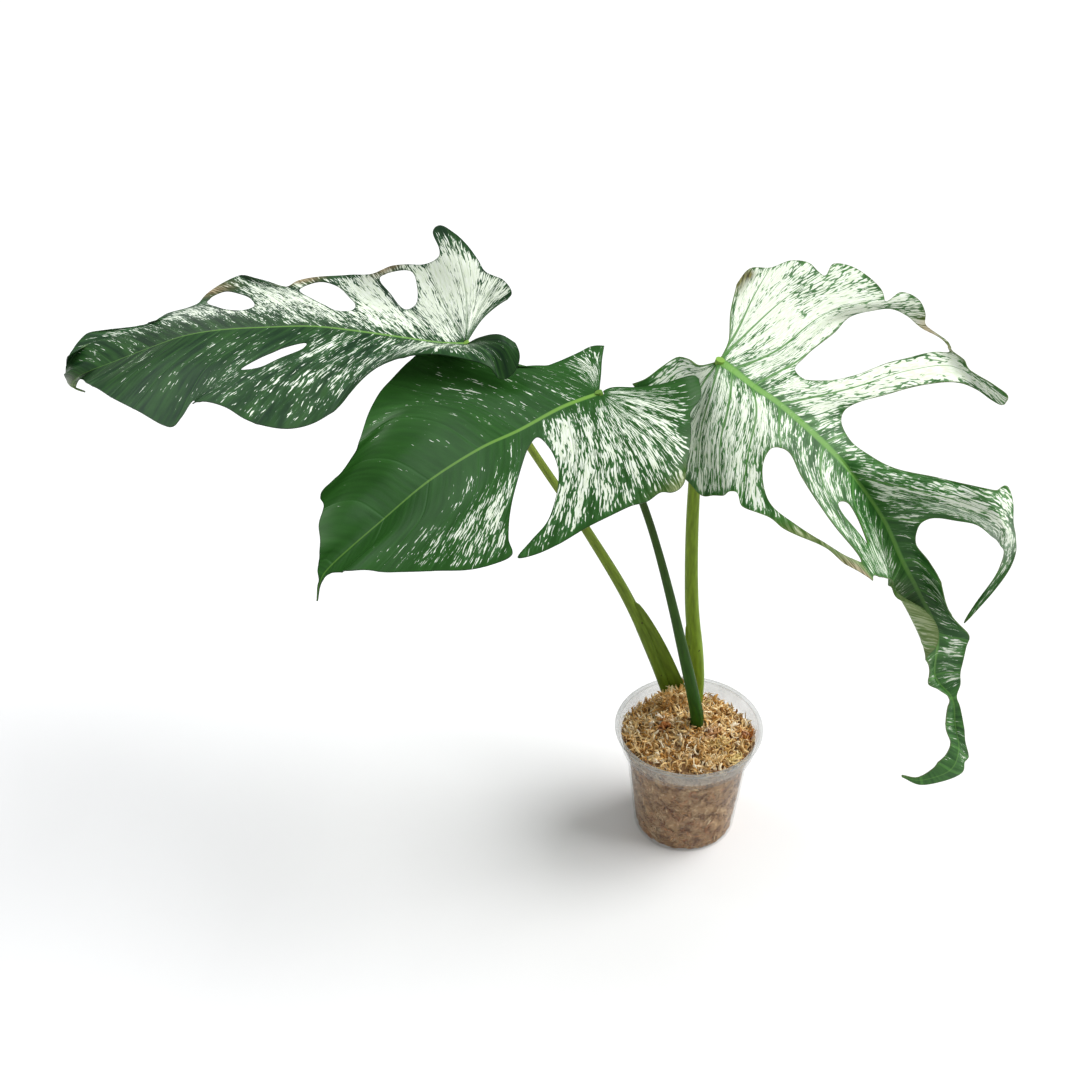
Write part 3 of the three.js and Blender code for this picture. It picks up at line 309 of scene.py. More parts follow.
RIGHT_HUB = [8, 20, 441]
RIGHT_LEAF = {
    "hub_ribs": 3,
    "ribs": [
        {"at": RIGHT_HUB, "far": [[16, 43, 444], [19, 70, 452], [25, 96, 460]],
            "near": [[-7, 19, 438], [-14, 29, 437], [-21, 36, 434], [-32, 33, 428], [-44, 29, 420],
                [-54, 31, 414]]},
        {"at": RIGHT_HUB, "far": [[24, 56, 446], [37, 86, 455], [53, 116, 465]],
            "near": [[-2, 12, 430], [-13, 4, 413], [-28, 1, 389]]},
        {"at": RIGHT_HUB, "far": [[33, 56, 445], [61, 87, 453], [95, 114, 461]],
            "near": [[2, -2, 432], [-6, -23, 412], [-10, -48, 376]]},
        {"at": [17, 14, 437], "far": [[50, 36, 439], [90, 76, 446], [136, 91, 451]],
            "near": [[13, -15, 429], [6, -40, 408], [7, -65, 380]]},
        {"at": [31, 4, 430], "far": [[65, 34, 431], [114, 82, 435], [168, 79, 430], [216, 44, 424]],
            "near": [[32, -21, 423], [25, -47, 405], [21, -70, 384]]},
        {"at": [50, -6, 421], "far": [[100, 13, 421], [149, 38, 421], [184, 49, 417], [214, 6, 418]],
            "near": [[48, -33, 412], [54, -63, 391], [87, -100, 358]]},
        {"at": [81, -26, 401],
            "far": [[109, -9, 401], [148, -9, 401], [193, -21, 400], [229, -42, 372], [242, -42, 317],
                [229, -40, 244]],
            "near": [[77, -51, 392], [88, -74, 373], [111, -104, 344]]},
        {"at": [102, -38, 382],
            "far": [[138, -52, 381], [176, -65, 378], [202, -79, 373], [223, -40, 306], [201, -36, 242]],
            "near": [[101, -57, 374], [109, -75, 357], [122, -97, 332]]},
        {"at": [125, -46, 350],
            "far": [[141, -48, 350], [170, -49, 349], [191, -57, 346], [209, -44, 316], [206, -42, 287],
                [190, -40, 257]],
            "near": [[123, -61, 341], [127, -71, 331], [132, -81, 317]]},
        {"at": [142, -52, 316], "far": [[152, -52, 316], [159, -57, 314], [167, -68, 310]],
            "near": [[138, -59, 309], [135, -63, 305], [134, -67, 304]]},
        {"at": [156, -54, 291], "far": [[168, -54, 284], [176, -58, 279], [182, -64, 273]],
            "near": [[144, -60, 287], [143, -66, 291], [152, -69, 288], [163, -70, 282]]},
        {"at": [175, -56, 250], "far": [[186, -54, 244], [193, -53, 242], [200, -53, 240]],
            "near": [[164, -61, 246], [164, -67, 248], [173, -69, 247]]},
        {"at": [178, -55, 207], "far": [[187, -53, 208], [193, -53, 208], [200, -53, 208]],
            "near": [[177, -61, 210], [174, -66, 213], [169, -68, 212]]},
        {"at": [194, -55, 184], "far": [[195, -55, 184], [197, -55, 184], [199, -54, 185]],
            "near": [[193, -57, 185], [191, -59, 187], [189, -60, 188]]},
        {"at": [200, -56, 157], "far": [[203, -58, 158], [205, -58, 157], [208, -58, 156]],
            "near": [[197, -58, 159], [194, -60, 161], [191, -62, 163]]},
        {"at": [205, -60, 135], "far": [[210, -57, 127], [216, -54, 120]],
            "near": [[200, -62, 140], [197, -63, 143]]},
        {"at": [200, -64, 116], "far": [[206, -62, 111], [210, -60, 108]],
            "near": [[195, -65, 121], [189, -66, 126]]},
        {"at": [178, -67, 108], "far": [[179, -67, 104]], "near": [[177, -67, 112]]},
        {"at": [162, -68, 113], "far": [[162, -68, 112]], "near": [[162, -68, 114]]},
    ],
    "far_margin": [
        [0, 80], [0.35, 98], [1, 105], [1.35, 120], [1.65, 126], [1.9, 124], [2.06, 124], [1.95, 138],
        [2.18, 146], [2.5, 148], [2.8, 147], [3.1, 143], [2.97, 158], [3.2, 167], [3.6, 171], [3.88, 169],
        [4.04, 176], [4.13, 180.5], [4.31, 177], [4.5, 171], [4.62, 174.5], [4.88, 166], [4.88, 190],
        [4.93, 202], [5.1, 192], [5.2, 172], [5.22, 155], [5.23, 123], [5.29, 77], [5.35, 52], [5.52, 35],
        [5.84, 23], [6.22, 20], [6.51, 28], [6.64, 38], [6.68, 68], [6.67, 89], [6.6, 113], [6.42, 134],
        [6.56, 138], [6.78, 140], [6.88, 160], [6.84, 188], [6.8, 214], [6.9, 240], [7.04, 254],
        [7.12, 230], [7.13, 190], [7.2, 150], [7.4, 120], [7.72, 98], [7.81, 73], [7.93, 54], [7.98, 34],
        [8.15, 24], [8.58, 17], [8.77, 26], [8.96, 35], [9.44, 36], [10.09, 33], [10.8, 31], [11.2, 25],
        [11.8, 22], [12.2, 19], [12.7, 12], [13, 4.5], [13.4, 5.5], [14, 8], [14.5, 10], [15, 19],
        [15.15, 17], [15.4, 12.5], [16, 13.5], [16.5, 8.5], [17, 5.5], [17.5, 3], [18, 0.8],
    ],
    "far_holes": [
        [[4.16, 39], [4.01, 58], [3.98, 97], [3.52, 128], [3.42, 143], [3.72, 157], [3.97, 163],
            [4.15, 175.5], [4.31, 174], [4.46, 168], [4.58, 164], [4.72, 151], [4.81, 123], [4.81, 99],
            [4.79, 67], [4.68, 47], [4.48, 36]],
    ],
    "near_margin": [
        [0, 77], [0.5, 72], [1.2, 80], [1.8, 94], [2.15, 101], [2.55, 100], [3.05, 98], [3.58, 89],
        [3.84, 87], [3.98, 94], [4.26, 97], [4.42, 100], [4.54, 108], [4.66, 113], [4.89, 121],
        [5.03, 133], [5.25, 134], [5.6, 126], [6.1, 104], [6.7, 88], [7.2, 73], [7.7, 57], [8.3, 43],
        [8.8, 25], [9.1, 22], [9.5, 32], [10, 39], [11, 28], [11.6, 13], [12, 16.5], [12.15, 17.5],
        [12.6, 12], [13, 5], [13.4, 9], [14, 12], [14.5, 14], [15, 11.5], [15.5, 13], [16, 15],
        [16.4, 11], [17, 4], [18, 0.8],
    ],
    "near_holes": [
        [[4.8, 41], [5.25, 35], [5.39, 47], [5.56, 63], [5.67, 82], [5.88, 94], [5.75, 105],
            [5.13, 122], [4.88, 114], [4.66, 101], [4.48, 90], [4.41, 77], [4.45, 58], [4.63, 46]],
        [[6.26, 43], [6.75, 31], [6.9, 36], [6.86, 58], [6.69, 57], [6.28, 51]],
    ],
    "base_white": 0.5,
    "white": [
        (1, 70, 1.8, 80, 0.42), (3.6, 110, 1.2, 90, 0.38), (5.2, 110, 1.0, 90, 0.34), (7, 120, 0.8, 90, 0.12),
        (0.8, -40, 1.6, 50, 0.16), (3.4, -60, 1.2, 50, 0.16), (5, -60, 0.8, 50, 0.12),
        (9.5, 8, 2.4, 60, -0.1), (13.5, 0, 1.8, 60, 0.02), (17, 0, 1.4, 60, -0.5),
        (5.4, -118, 0.6, 16, -0.3), (0, -68, 0.7, 14, -0.2),
    ],
    "dry": [(4.1, 168, 0.4, 8), (5.3, -131, 0.4, 5)],
    "scorch": [(0.1, 85, 0.35, 14), (0.45, 92, 0.18, 5)],
    # The olive places of this leaf are painted shade in its folds, over the underside's olive.
    "olive": [(10.4, -30, 1.2, 18), (5.3, -122, 0.5, 14), (4.6, -112, 0.4, 8)],
}

LEAVES = {"left": LEFT_LEAF, "middle": MIDDLE_LEAF, "right": RIGHT_LEAF}

# Centre lines of the stalks in millimetres, with radii along them, and the wing of each sheath:
# its direction seen from above in degrees, its width and how far up the stalk it reaches.
STALKS = {
    "left": {
        "route": [[-9, 27, 84], [-18.5, 36, 116], [-48, 39, 198], [-82, 42, 266], [-129, 44, 350],
            [-175.5, 50.5, 437.5]],
        "radii": [4.6, 5.2, 4.4, 3.4, 3.1, 3.0],
        "wing": (-20, 15, 0.32),
    },
    "middle": {
        "route": [[4, 12, 84], [6, -2, 110], [-13, -8, 209], [-32, -10, 291], [-44, -10, 333],
            [-79.5, -10, 434.5]],
        "radii": [5.5, 5.0, 3.8, 3.0, 2.8, 2.8],
        "wing": (30, 2, 0.2),
    },
    "right": {
        "route": [[7, 34, 84], [8, 36, 121], [-0.5, 34, 207], [-4, 31, 308], [-2, 25, 392],
            [8.5, 19.5, 442.5]],
        "radii": [5.4, 6.2, 5.4, 5.0, 4.4, 3.4],
        "wing": (200, 5, 0.28),
    },
}
STALK_STEPS = 90
STALK_SIDES = 24
STALK_ROUTE_STEP = 0.001
# Above this share of its length a stalk is a little flattened.
FLAT_FROM = 0.25
FLATNESS = 0.9
# The slight joint under the blade: its place and spread as shares of the length, how much thicker it is, and
# the heights in metres over which the skin turns fresh green there.
JOINT_PLACE = 0.955
JOINT_SPREAD = 0.02
JOINT_SWELLING = 0.12
JOINT_RISE = (0.424, 0.438)
JOINT_GREEN = "#84B24E"
# The sheath's wing: how it tapers, its least width in millimetres, how far its middle and its root lie from
# the stalk's centre line as shares of the radius, and its thickness at the foot and what is lost upward.
WING_SIDES = 20
WING_TAPER = 0.45
WING_LEAST = 0.3
WING_MIDDLE = 0.55
WING_ROOT = 0.35
WING_THICKNESS = 0.0011
WING_THINNING = 0.0005

# The stage: the even light of the room, the softbox with its spread in degrees and the side it shines from,
# the window light with its place, aim and size in metres, and the camera.
ROOM_LIGHT = 0.36
SOFTBOX_STRENGTH = 3.2
SOFTBOX_SPREAD = 50
SOFTBOX_FROM = (1.0, 0.12, 1.25)
WINDOW_PLACE = (-0.66, 0.28, 1.3)
WINDOW_AIM = (-0.1, 0, 0.3)
WINDOW_SIZE = 0.6
WINDOW_POWER = 3.2
WINDOW_TINT = "#F2F7FF"
CAMERA_PLACE = (-0.1208, -1.215, 1.2364)
SENSOR_WIDTH = 36
CLIP_START = 0.05


def linear(hex_colour):
    """An sRGB hex colour as linear red, green, blue and alpha."""
    channels = [int(hex_colour[i:i + 2], 16) / 255 for i in (1, 3, 5)]
    return tuple(c / 12.92 if c <= 0.04045 else ((c + 0.055) / 1.055) ** 2.4 for c in channels) + (1.0,)


def smooth(value, low, high):
    """A soft step from 0 to 1 between low and high."""
    share = min(1.0, max(0.0, (value - low) / (high - low)))
    return share * share * (3 - 2 * share)


def add(tree, kind, inputs=None, out=0, **settings):
    """Adds a node with its settings and inputs, links included, and returns one of its outputs."""
    node = tree.nodes.new(kind)
    for name, value in settings.items():
        setattr(node, name, value)
    for key, value in (inputs or {}).items():
        if isinstance(value, bpy.types.NodeSocket):
            tree.links.new(value, node.inputs[key])
        else:
            node.inputs[key].default_value = value
    return node.outputs[out] if node.outputs else None


def new_material(name):
    """An empty node material."""
    material = bpy.data.materials.new(name)
    material.use_nodes = True
    material.node_tree.nodes.clear()
    return material, material.node_tree


def finish_piece(name, bm, materials, nodes):
    """Turns a finished bmesh into a piece that rides on the root body and stands for its CAD nodes."""
    mesh = bpy.data.meshes.new(name)
    bm.to_mesh(mesh)
    bm.free()
    piece = bpy.data.objects.new(name, mesh)
    bpy.context.scene.collection.objects.link(piece)
    for material in materials:
        mesh.materials.append(material)
    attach(piece, "root")
    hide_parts(*nodes)
    return piece


# Leaves


class HalfBlade:
    """One half of a blade as a smooth sheet over its side veins. Its places are (vein, metres along it)."""

    def __init__(self, ribs, side):
        self.ribs = []
        for rib in ribs:
            points = [Vector(p) * MM for p in (rib["at"], *rib[side])]
            knots = [0.0]
            for before, after in zip(points, points[1:]):
                knots.append(knots[-1] + (after - before).length)
            self.ribs.append((knots, points))

    def along(self, number, reach):
        """A point on one side vein, straight on past its last given point."""
        last_rib = len(self.ribs) - 1
        if number < 0:
            return 2 * self.along(0, reach) - self.along(1, reach)
        if number > last_rib:
            return 2 * self.along(last_rib, reach) - self.along(last_rib - 1, reach)
        knots, points = self.ribs[number]
        last = len(points) - 1

        def slope(i):
            a, b = max(0, i - 1), min(last, i + 1)
            return (points[b] - points[a]) / (knots[b] - knots[a])

        if reach >= knots[last]:
            return points[last] + slope(last) * (reach - knots[last])
        i = 0
        while reach > knots[i + 1]:
            i += 1
        span = knots[i + 1] - knots[i]
        u = (reach - knots[i]) / span
        return (
            points[i] * ((1 + 2 * u) * (1 - u) ** 2)
            + slope(i) * (span * u * (1 - u) ** 2)
            + points[i + 1] * (u * u * (3 - 2 * u))
            + slope(i + 1) * (span * u * u * (u - 1))
        )

    def point(self, vein, reach):
        """A point of the sheet."""
        i = min(len(self.ribs) - 2, max(0, math.floor(vein)))
        u = vein - i
        weights = (
            (-u + 2 * u * u - u ** 3) / 2,
            (2 - 5 * u * u + 3 * u ** 3) / 2,
            (u + 4 * u * u - 3 * u ** 3) / 2,
            (u ** 3 - u * u) / 2,
        )
        total = Vector()
        for j, weight in enumerate(weights):
            if abs(weight) > 1e-9:
                total += self.along(i - 1 + j, reach) * weight
        return total


def curve_through(points, closed, step):
    """Points about a step apart on a smooth curve through the given ones."""
    count = len(points)
    found = []
    for i in range(count if closed else count - 1):
        a, b = points[i], points[(i + 1) % count]
        before = points[i - 1] if closed or i > 0 else 2 * a - b
        after = points[(i + 2) % count] if closed or i + 2 < count else 2 * b - a
        gaps = [max(1e-6, (q - p).length) ** 0.5 for p, q in ((before, a), (a, b), (b, after))]
        leave = b - a + gaps[1] * ((a - before) / gaps[0] - (b - before) / (gaps[0] + gaps[1]))
        arrive = b - a + gaps[1] * ((after - b) / gaps[2] - (after - a) / (gaps[1] + gaps[2]))
        steps = max(1, round((b - a).length / step))
        for k in range(steps):
            u = k / steps
            found.append(
                a * (2 * u ** 3 - 3 * u * u + 1) + leave * (u ** 3 - 2 * u * u + u)
                + b * (3 * u * u - 2 * u ** 3) + arrive * (u ** 3 - u * u)
            )
    if not closed:
        found.append(points[-1])
    return found


def flat_half(leaf, side):
    """The flat pattern of a half blade, cut into small cells along and across the side veins."""
    tip = len(leaf["ribs"]) - 1
    hub = leaf["hub_ribs"] - 1

    def flat(place):
        return Vector((place[0] * FLAT_PITCH, place[1] * MM, 0))

    margin = curve_through([flat(p) for p in leaf[side + "_margin"]], False, MARGIN_STEP)
    ends = [flat(p) for p in ([tip, 0], [hub, 0], [hub, HUB_NOTCH], [0, HUB_NOTCH])]
    loops = [margin + ends]
    loops += [curve_through([flat(p) for p in hole], True, MARGIN_STEP) for hole in leaf[side + "_holes"]]
    bm = bmesh.new()
    for loop in loops:
        verts = [bm.verts.new((p.x, max(0.0, p.y), 0)) for p in loop]
        for i, vert in enumerate(verts):
            bm.edges.new((verts[i - 1], vert))
    bmesh.ops.triangle_fill(bm, use_beauty=True, edges=bm.edges[:])
    across = [k + part / CELLS_PER_VEIN for k in range(tip) for part in range(CELLS_PER_VEIN)]
    across += [k + sign * VEIN_HALF_WIDTH for k in range(tip + 1) for sign in (-1, 1)]
    lines = [(Vector((1, 0, 0)), t * FLAT_PITCH) for t in across]
    reach = max(vert.co.y for vert in bm.verts)
    lines += [(Vector((0, 1, 0)), s * MM) for s in (MIDRIB_HALF_WIDTH / 2, MIDRIB_HALF_WIDTH)]
    lines += [(Vector((0, 1, 0)), CELL_REACH * k) for k in range(2, math.ceil(reach / CELL_REACH))]
    for normal, value in lines:
        geometry = bm.verts[:] + bm.edges[:] + bm.faces[:]
        bmesh.ops.bisect_plane(bm, geom=geometry, dist=CUT_TOLERANCE, plane_co=normal * value,
            plane_no=normal)
    kept = [{round(value * 1e6) for n, value in lines if n[axis]} for axis in (0, 1)]

    def on_line(edge):
        places = [[round(vert.co[axis] * 1e6) for vert in edge.verts] for axis in (0, 1)]
        return any(a == b and a in kept[axis] for axis, (a, b) in enumerate(places))

    spare = [edge for edge in bm.edges if not edge.is_boundary and not on_line(edge)]
    bmesh.ops.dissolve_edges(bm, edges=spare, use_verts=False)
    spare = [vert for vert in bm.verts if len(vert.link_edges) == 2 and not vert.is_boundary]
    bmesh.ops.dissolve_verts(bm, verts=spare)
    bmesh.ops.recalc_face_normals(bm, faces=bm.faces[:])
    bm.normal_update()
    upward = sum(face.normal.z * face.calc_area() for face in bm.faces) > 0
    if upward == (side == "far"):
        bmesh.ops.reverse_faces(bm, faces=bm.faces[:])
    return bm


def share_at(base, patches, vein, reach):
    """How much of the blade is white round a place."""
    total = base
    for centre, distance, spread, length, amount in patches:
        total += amount * math.exp(-(((vein - centre) / spread) ** 2) - ((reach - distance) / length) ** 2)
    return min(1.0, max(0.0, total))


def spot_at(spots, vein, reach):
    """How dry, scorched or olive the blade is at a place."""
    total = sum(
        math.exp(-(((vein - centre) / spread) ** 2) - ((reach - distance) / length) ** 2)
        for centre, distance, spread, length in spots
    )
    return min(1.0, total)


def ridge(vein, reach, tip):
    """How far midrib and side veins stand out under the blade, in metres."""
    fade = 1 - RIDGE_TAPER * vein / tip
    midrib = MIDRIB_RIDGE * max(0.0, 1 - reach / (MIDRIB_HALF_WIDTH * MM))
    side_vein = VEIN_RIDGE * max(0.0, 1 - abs(vein - round(vein)) / VEIN_HALF_WIDTH)
    return fade * max(midrib, side_vein) * MM


def blade_mesh(leaf):
    """A whole blade: both halves joined along the midrib, with relief, thickness and its pattern values."""
    tip = len(leaf["ribs"]) - 1
    bm = bmesh.new()
    for side, sign in (("far", 1), ("near", -1)):
        part = flat_half(leaf, side)
        sheet = HalfBlade(leaf["ribs"], side)
        layers = {key: part.verts.layers.float.new(key) for key in ("vein", "reach", "pitch")}
        for vert in part.verts:
            vein, reach = vert.co.x / FLAT_PITCH, vert.co.y
            vert[layers["vein"]] = vein
            vert[layers["reach"]] = sign * reach
            step = sheet.point(vein + PITCH_STEP, reach) - sheet.point(vein - PITCH_STEP, reach)
            vert[layers["pitch"]] = step.length / (2 * PITCH_STEP) / MM
            vert.co = sheet.point(vein, reach)
        mesh = bpy.data.meshes.new("half")
        part.to_mesh(mesh)
        part.free()
        bm.from_mesh(mesh)
        bpy.data.meshes.remove(mesh)
    floats = bm.verts.layers.float
    vein_of, reach_of, pitch_of = floats["vein"], floats["reach"], floats["pitch"]
    seam = [vert for vert in bm.verts if abs(vert[reach_of]) < CUT_TOLERANCE]
    bmesh.ops.remove_doubles(bm, verts=seam, dist=SEAM_GAP)
    bm.normal_update()
    if sum(vert.normal.z for vert in bm.verts) < 0:
        bmesh.ops.reverse_faces(bm, faces=bm.faces[:])
        bm.normal_update()

    white_of, edge_of = floats.new("white"), floats.new("edge")
    spots = {key: floats.new(key) for key in ("dry", "scorch", "olive")}
    margin = [vert for vert in bm.verts if vert.is_boundary]
    tree = kdtree.KDTree(len(margin))
    for i, vert in enumerate(margin):
        tree.insert(vert.co, i)
    tree.balance()
    places = []
    for vert in bm.verts:
        vein, reach = vert[vein_of], vert[reach_of] / MM
        vert[white_of] = share_at(leaf["base_white"], leaf["white"], vein, reach)
        for key, layer in spots.items():
            vert[layer] = spot_at(leaf[key], vein, reach)
        vert[edge_of] = min(FAR_FROM_EDGE, tree.find(vert.co)[2] / MM)
        room = smooth(abs(reach), *PANEL_REACH) * smooth(vert[pitch_of], *PANEL_PITCH)
        puff = PUFF * room * math.sin(math.pi * (vein % 1)) ** 2
        wave = LOOSE_WAVE * room * noise.noise(vert.co * WAVES_PER_METRE)
        raised = TOP_MIDRIB * (1 - smooth(abs(reach), 0, MIDRIB_HALF_WIDTH)) * (1 - vein / tip)
        body = vert.co + vert.normal * (puff + wave) * MM
        top = body + vert.normal * (BLADE / 2 + raised) * MM
        under = body - vert.normal * (BLADE / 2 * MM + ridge(vein, abs(vert[reach_of]), tip))
        places.append((top, under))
    number_of = bm.verts.layers.int.new("number")
    for i, vert in enumerate(bm.verts):
        vert[number_of] = i
    under_faces = bm.faces[:]
    raised_copy = bmesh.ops.extrude_face_region(bm, geom=under_faces, use_keep_orig=True)["geom"]
    top_faces = {item for item in raised_copy if isinstance(item, bmesh.types.BMFace)}
    top_verts = {vert for face in top_faces for vert in face.verts}
    for vert in bm.verts:
        vert.co = places[vert[number_of]][0 if vert in top_verts else 1]
    under_faces = set(under_faces)
    uv = bm.loops.layers.uv.new("vein_map")
    for face in bm.faces:
        face.smooth = True
        face.material_index = 1 if face in under_faces else 0
        for loop in face.loops:
            loop[uv].uv = (loop.vert[vein_of], loop.vert[reach_of])
    for edge in bm.edges:
        walls = sum(face not in top_faces and face not in under_faces for face in edge.link_faces)
        edge.smooth = walls != 1
    return bm


def leaf_material(name, look, underside=False):
    """Living leaf tissue under a waxy cuticle: dark green that turns white in long cells between a green net,
    softly glossy above and duller below."""
    material, tree = new_material(name)
    place = add(tree, "ShaderNodeUVMap", uv_map="vein_map")
    split = {"tree": tree, "kind": "ShaderNodeSeparateXYZ", "inputs": {0: place}}
    vein, reach = add(**split, out=0), add(**split, out=1)
    facts = {
        key: add(tree, "ShaderNodeAttribute", out=2, attribute_name=key)
        for key in ("white", "edge", "pitch", "dry", "scorch", "olive")
    }
    distance = add(tree, "ShaderNodeMath", {0: reach}, operation="ABSOLUTE")

    # The flat pattern in millimetres, a little bent, and noise drawn out along the veins.
    flat_size = (FLAT_PITCH / MM, 1 / MM, 1)
    flat = add(tree, "ShaderNodeVectorMath", {0: place, 1: flat_size}, operation="MULTIPLY")
    bend = add(tree, "ShaderNodeVectorMath", {0: flat, 1: BEND_WAVES}, operation="MULTIPLY")
    bend = add(tree, "ShaderNodeTexNoise", {"Vector": bend, "Scale": 1, "Detail": 2}, out=1)
    bend = add(tree, "ShaderNodeVectorMath", {0: bend, 1: BEND_SIZE}, operation="MULTIPLY")
    bent = add(tree, "ShaderNodeVectorMath", {0: flat, 1: bend}, operation="ADD")
    noises = []
    field = 0.0
    for size, detail, share in (STREAKS, PATCHES, FLECKS):
        stretched = add(tree, "ShaderNodeVectorMath", {0: bent, 1: size}, operation="DIVIDE")
        drawn = add(tree, "ShaderNodeTexNoise", {
            "Vector": stretched, "Scale": 1, "Detail": detail, "Roughness": 0.55,
        })
        noises.append(drawn)
        field = add(tree, "ShaderNodeMath", {0: drawn, 1: share, 2: field}, operation="MULTIPLY_ADD")
    streaks, patches, flecks = noises

    # The green net between white cells.
    cells = add(tree, "ShaderNodeVectorMath", {0: bent, 1: (*look["cell"], 1)}, operation="DIVIDE")
    net = add(tree, "ShaderNodeTexVoronoi", {"Vector": cells, "Scale": 1}, voronoi_dimensions="2D",
        feature="DISTANCE_TO_EDGE")
    net = add(tree, "ShaderNodeMapRange", {
        "Value": net, "From Min": look["net_width"], "From Max": look["net_width"] * 0.35,
    }, interpolation_type="SMOOTHSTEP")
    net_share = add(tree, "ShaderNodeMapRange", {
        "Value": patches, "From Min": 0.62, "From Max": 0.4,
        "To Min": look["net"] * 0.35, "To Max": look["net"],
    })
    net = add(tree, "ShaderNodeMath", {0: net, 1: net_share}, operation="MULTIPLY")

    # The blade is greener along its rim and its midrib, and white where the noise passes the level left over.
    rim_green = add(tree, "ShaderNodeMapRange", {
        "Value": facts["edge"], "From Min": 0.5, "From Max": 5, "To Min": RIM_GREEN, "To Max": 0,
    }, interpolation_type="SMOOTHSTEP")
    axis_green = add(tree, "ShaderNodeMapRange", {
        "Value": distance, "From Min": 0.001, "From Max": 0.014, "To Min": look["axis_green"], "To Max": 0,
    }, interpolation_type="SMOOTHSTEP")
    share = add(tree, "ShaderNodeMath", {0: facts["white"], 1: rim_green}, operation="SUBTRACT")
    share = add(tree, "ShaderNodeMath", {0: share, 1: axis_green}, operation="SUBTRACT")
    level = add(tree, "ShaderNodeMapRange", {
        "Value": share, "From Min": 0, "From Max": 1, "To Min": ALL_GREEN_LEVEL, "To Max": ALL_WHITE_LEVEL,
    })
    over = add(tree, "ShaderNodeMath", {0: field, 1: level}, operation="SUBTRACT")
    cut = add(tree, "ShaderNodeMath", {0: over, 1: net}, operation="SUBTRACT")
    mark = add(tree, "ShaderNodeMapRange", {"Value": cut, "From Min": -0.01, "From Max": 0.014},
        interpolation_type="SMOOTHSTEP")
    half_tone = add(tree, "ShaderNodeMapRange", {"Value": over, "From Min": -0.07, "From Max": 0.03},
        interpolation_type="SMOOTHSTEP")
    half_tone = add(tree, "ShaderNodeMath", {0: half_tone, 1: patches}, operation="MULTIPLY")
    marked = add(tree, "ShaderNodeMapRange", {"Value": facts["white"], "From Min": 0.1, "From Max": 0.5})
    half_tone = add(tree, "ShaderNodeMath", {0: half_tone, 1: marked}, operation="MULTIPLY")

    # Deep to fresh green, grey-green round the marks, and cream to white in them.
    green = add(tree, "ShaderNodeMapRange", {"Value": patches, "From Min": 0.35, "From Max": 0.65})
    green = add(tree, "ShaderNodeMix", {0: green, 6: look["deep"], 7: look["green"]}, 2, data_type="RGBA")
    green = add(tree, "ShaderNodeMix", {0: half_tone, 6: green, 7: look["mid"]}, 2, data_type="RGBA")
    white = add(tree, "ShaderNodeMapRange", {"Value": flecks, "From Min": 0.35, "From Max": 0.65})
    white = add(tree, "ShaderNodeMix", {0: white, 6: look["cream"], 7: look["white"]}, 2, data_type="RGBA")
    colour = add(tree, "ShaderNodeMix", {0: mark, 6: green, 7: white}, 2, data_type="RGBA")

    # Fine side veins show as faint paler lines, and a few places are olive: underside colour at curled tips,
    # painted shade in the right leaf's folds.
    ripple = add(tree, "ShaderNodeMath", {0: vein, 1: 2 * math.pi * FINE_VEINS}, operation="MULTIPLY")
    ripple = add(tree, "ShaderNodeMath", {0: ripple}, operation="SINE")
    tone = add(tree, "ShaderNodeMapRange", {"Value": ripple, "From Min": -1, "To Min": 0.97, "To Max": 1.04})
    colour = add(tree, "ShaderNodeHueSaturation", {"Color": colour, "Value": tone})
    contrast = add(tree, "ShaderNodeMapRange", {"Value": streaks, "From Min": 0.38, "From Max": 0.62})
    olive = add(tree, "ShaderNodeMix", {0: contrast, 6: linear(OLIVE_UNDERSIDE_AND_FOLD_SHADE[0]), 7: linear(OLIVE_UNDERSIDE_AND_FOLD_SHADE[1])}, 2,
        data_type="RGBA")
    underside_and_fold_shade_share = add(tree, "ShaderNodeMath", {0: facts["olive"], 1: 0.85}, operation="MULTIPLY")
    colour = add(tree, "ShaderNodeMix", {0: underside_and_fold_shade_share, 6: colour, 7: olive}, 2, data_type="RGBA")

    # Main side veins narrow outward from the midrib, and the midrib narrows toward the tip.
    inner = add(tree, "ShaderNodeMath", {0: vein, 1: 0.5}, operation="PINGPONG")
    vein_gap = add(tree, "ShaderNodeMath", {0: inner, 1: facts["pitch"]}, operation="MULTIPLY")
    vein_width = add(tree, "ShaderNodeMapRange", {
        "Value": distance, "From Min": 0, "From Max": 0.09, "To Min": look["vein_width"], "To Max": 0.3,
    })
    vein_place = add(tree, "ShaderNodeMath", {0: vein_gap, 1: vein_width}, operation="DIVIDE")
    vein_line = add(tree, "ShaderNodeMapRange", {
        "Value": vein_place, "From Min": 1.2, "From Max": 0.5, "To Min": 0, "To Max": look["vein_share"],
    }, interpolation_type="SMOOTHSTEP")
    colour = add(tree, "ShaderNodeMix", {0: vein_line, 6: colour, 7: look["vein"]}, 2, data_type="RGBA")
    midrib_width = add(tree, "ShaderNodeMapRange", {
        "Value": vein, "From Min": 2, "From Max": look["tip"] - 1, "To Min": look["midrib_width"] * MM,
        "To Max": 0.0005,
    })
    midrib_place = add(tree, "ShaderNodeMath", {0: distance, 1: midrib_width}, operation="DIVIDE")
    midrib_fade = add(tree, "ShaderNodeMapRange", {
        "Value": vein, "From Min": 3, "From Max": look["tip"] * 0.85, "To Min": 1, "To Max": 0.35,
    })
    midrib_line = add(tree, "ShaderNodeMapRange", {
        "Value": midrib_place, "From Min": 1.1, "From Max": 0.75, "To Min": 0, "To Max": midrib_fade,
    }, interpolation_type="SMOOTHSTEP")
    midrib = add(tree, "ShaderNodeMapRange", {"Value": midrib_place, "From Min": 0.45, "From Max": 1.0})
    midrib = add(tree, "ShaderNodeMix", {0: midrib, 6: look["midrib"], 7: look["vein"]}, 2, data_type="RGBA")
    colour = add(tree, "ShaderNodeMix", {0: midrib_line, 6: colour, 7: midrib}, 2, data_type="RGBA")

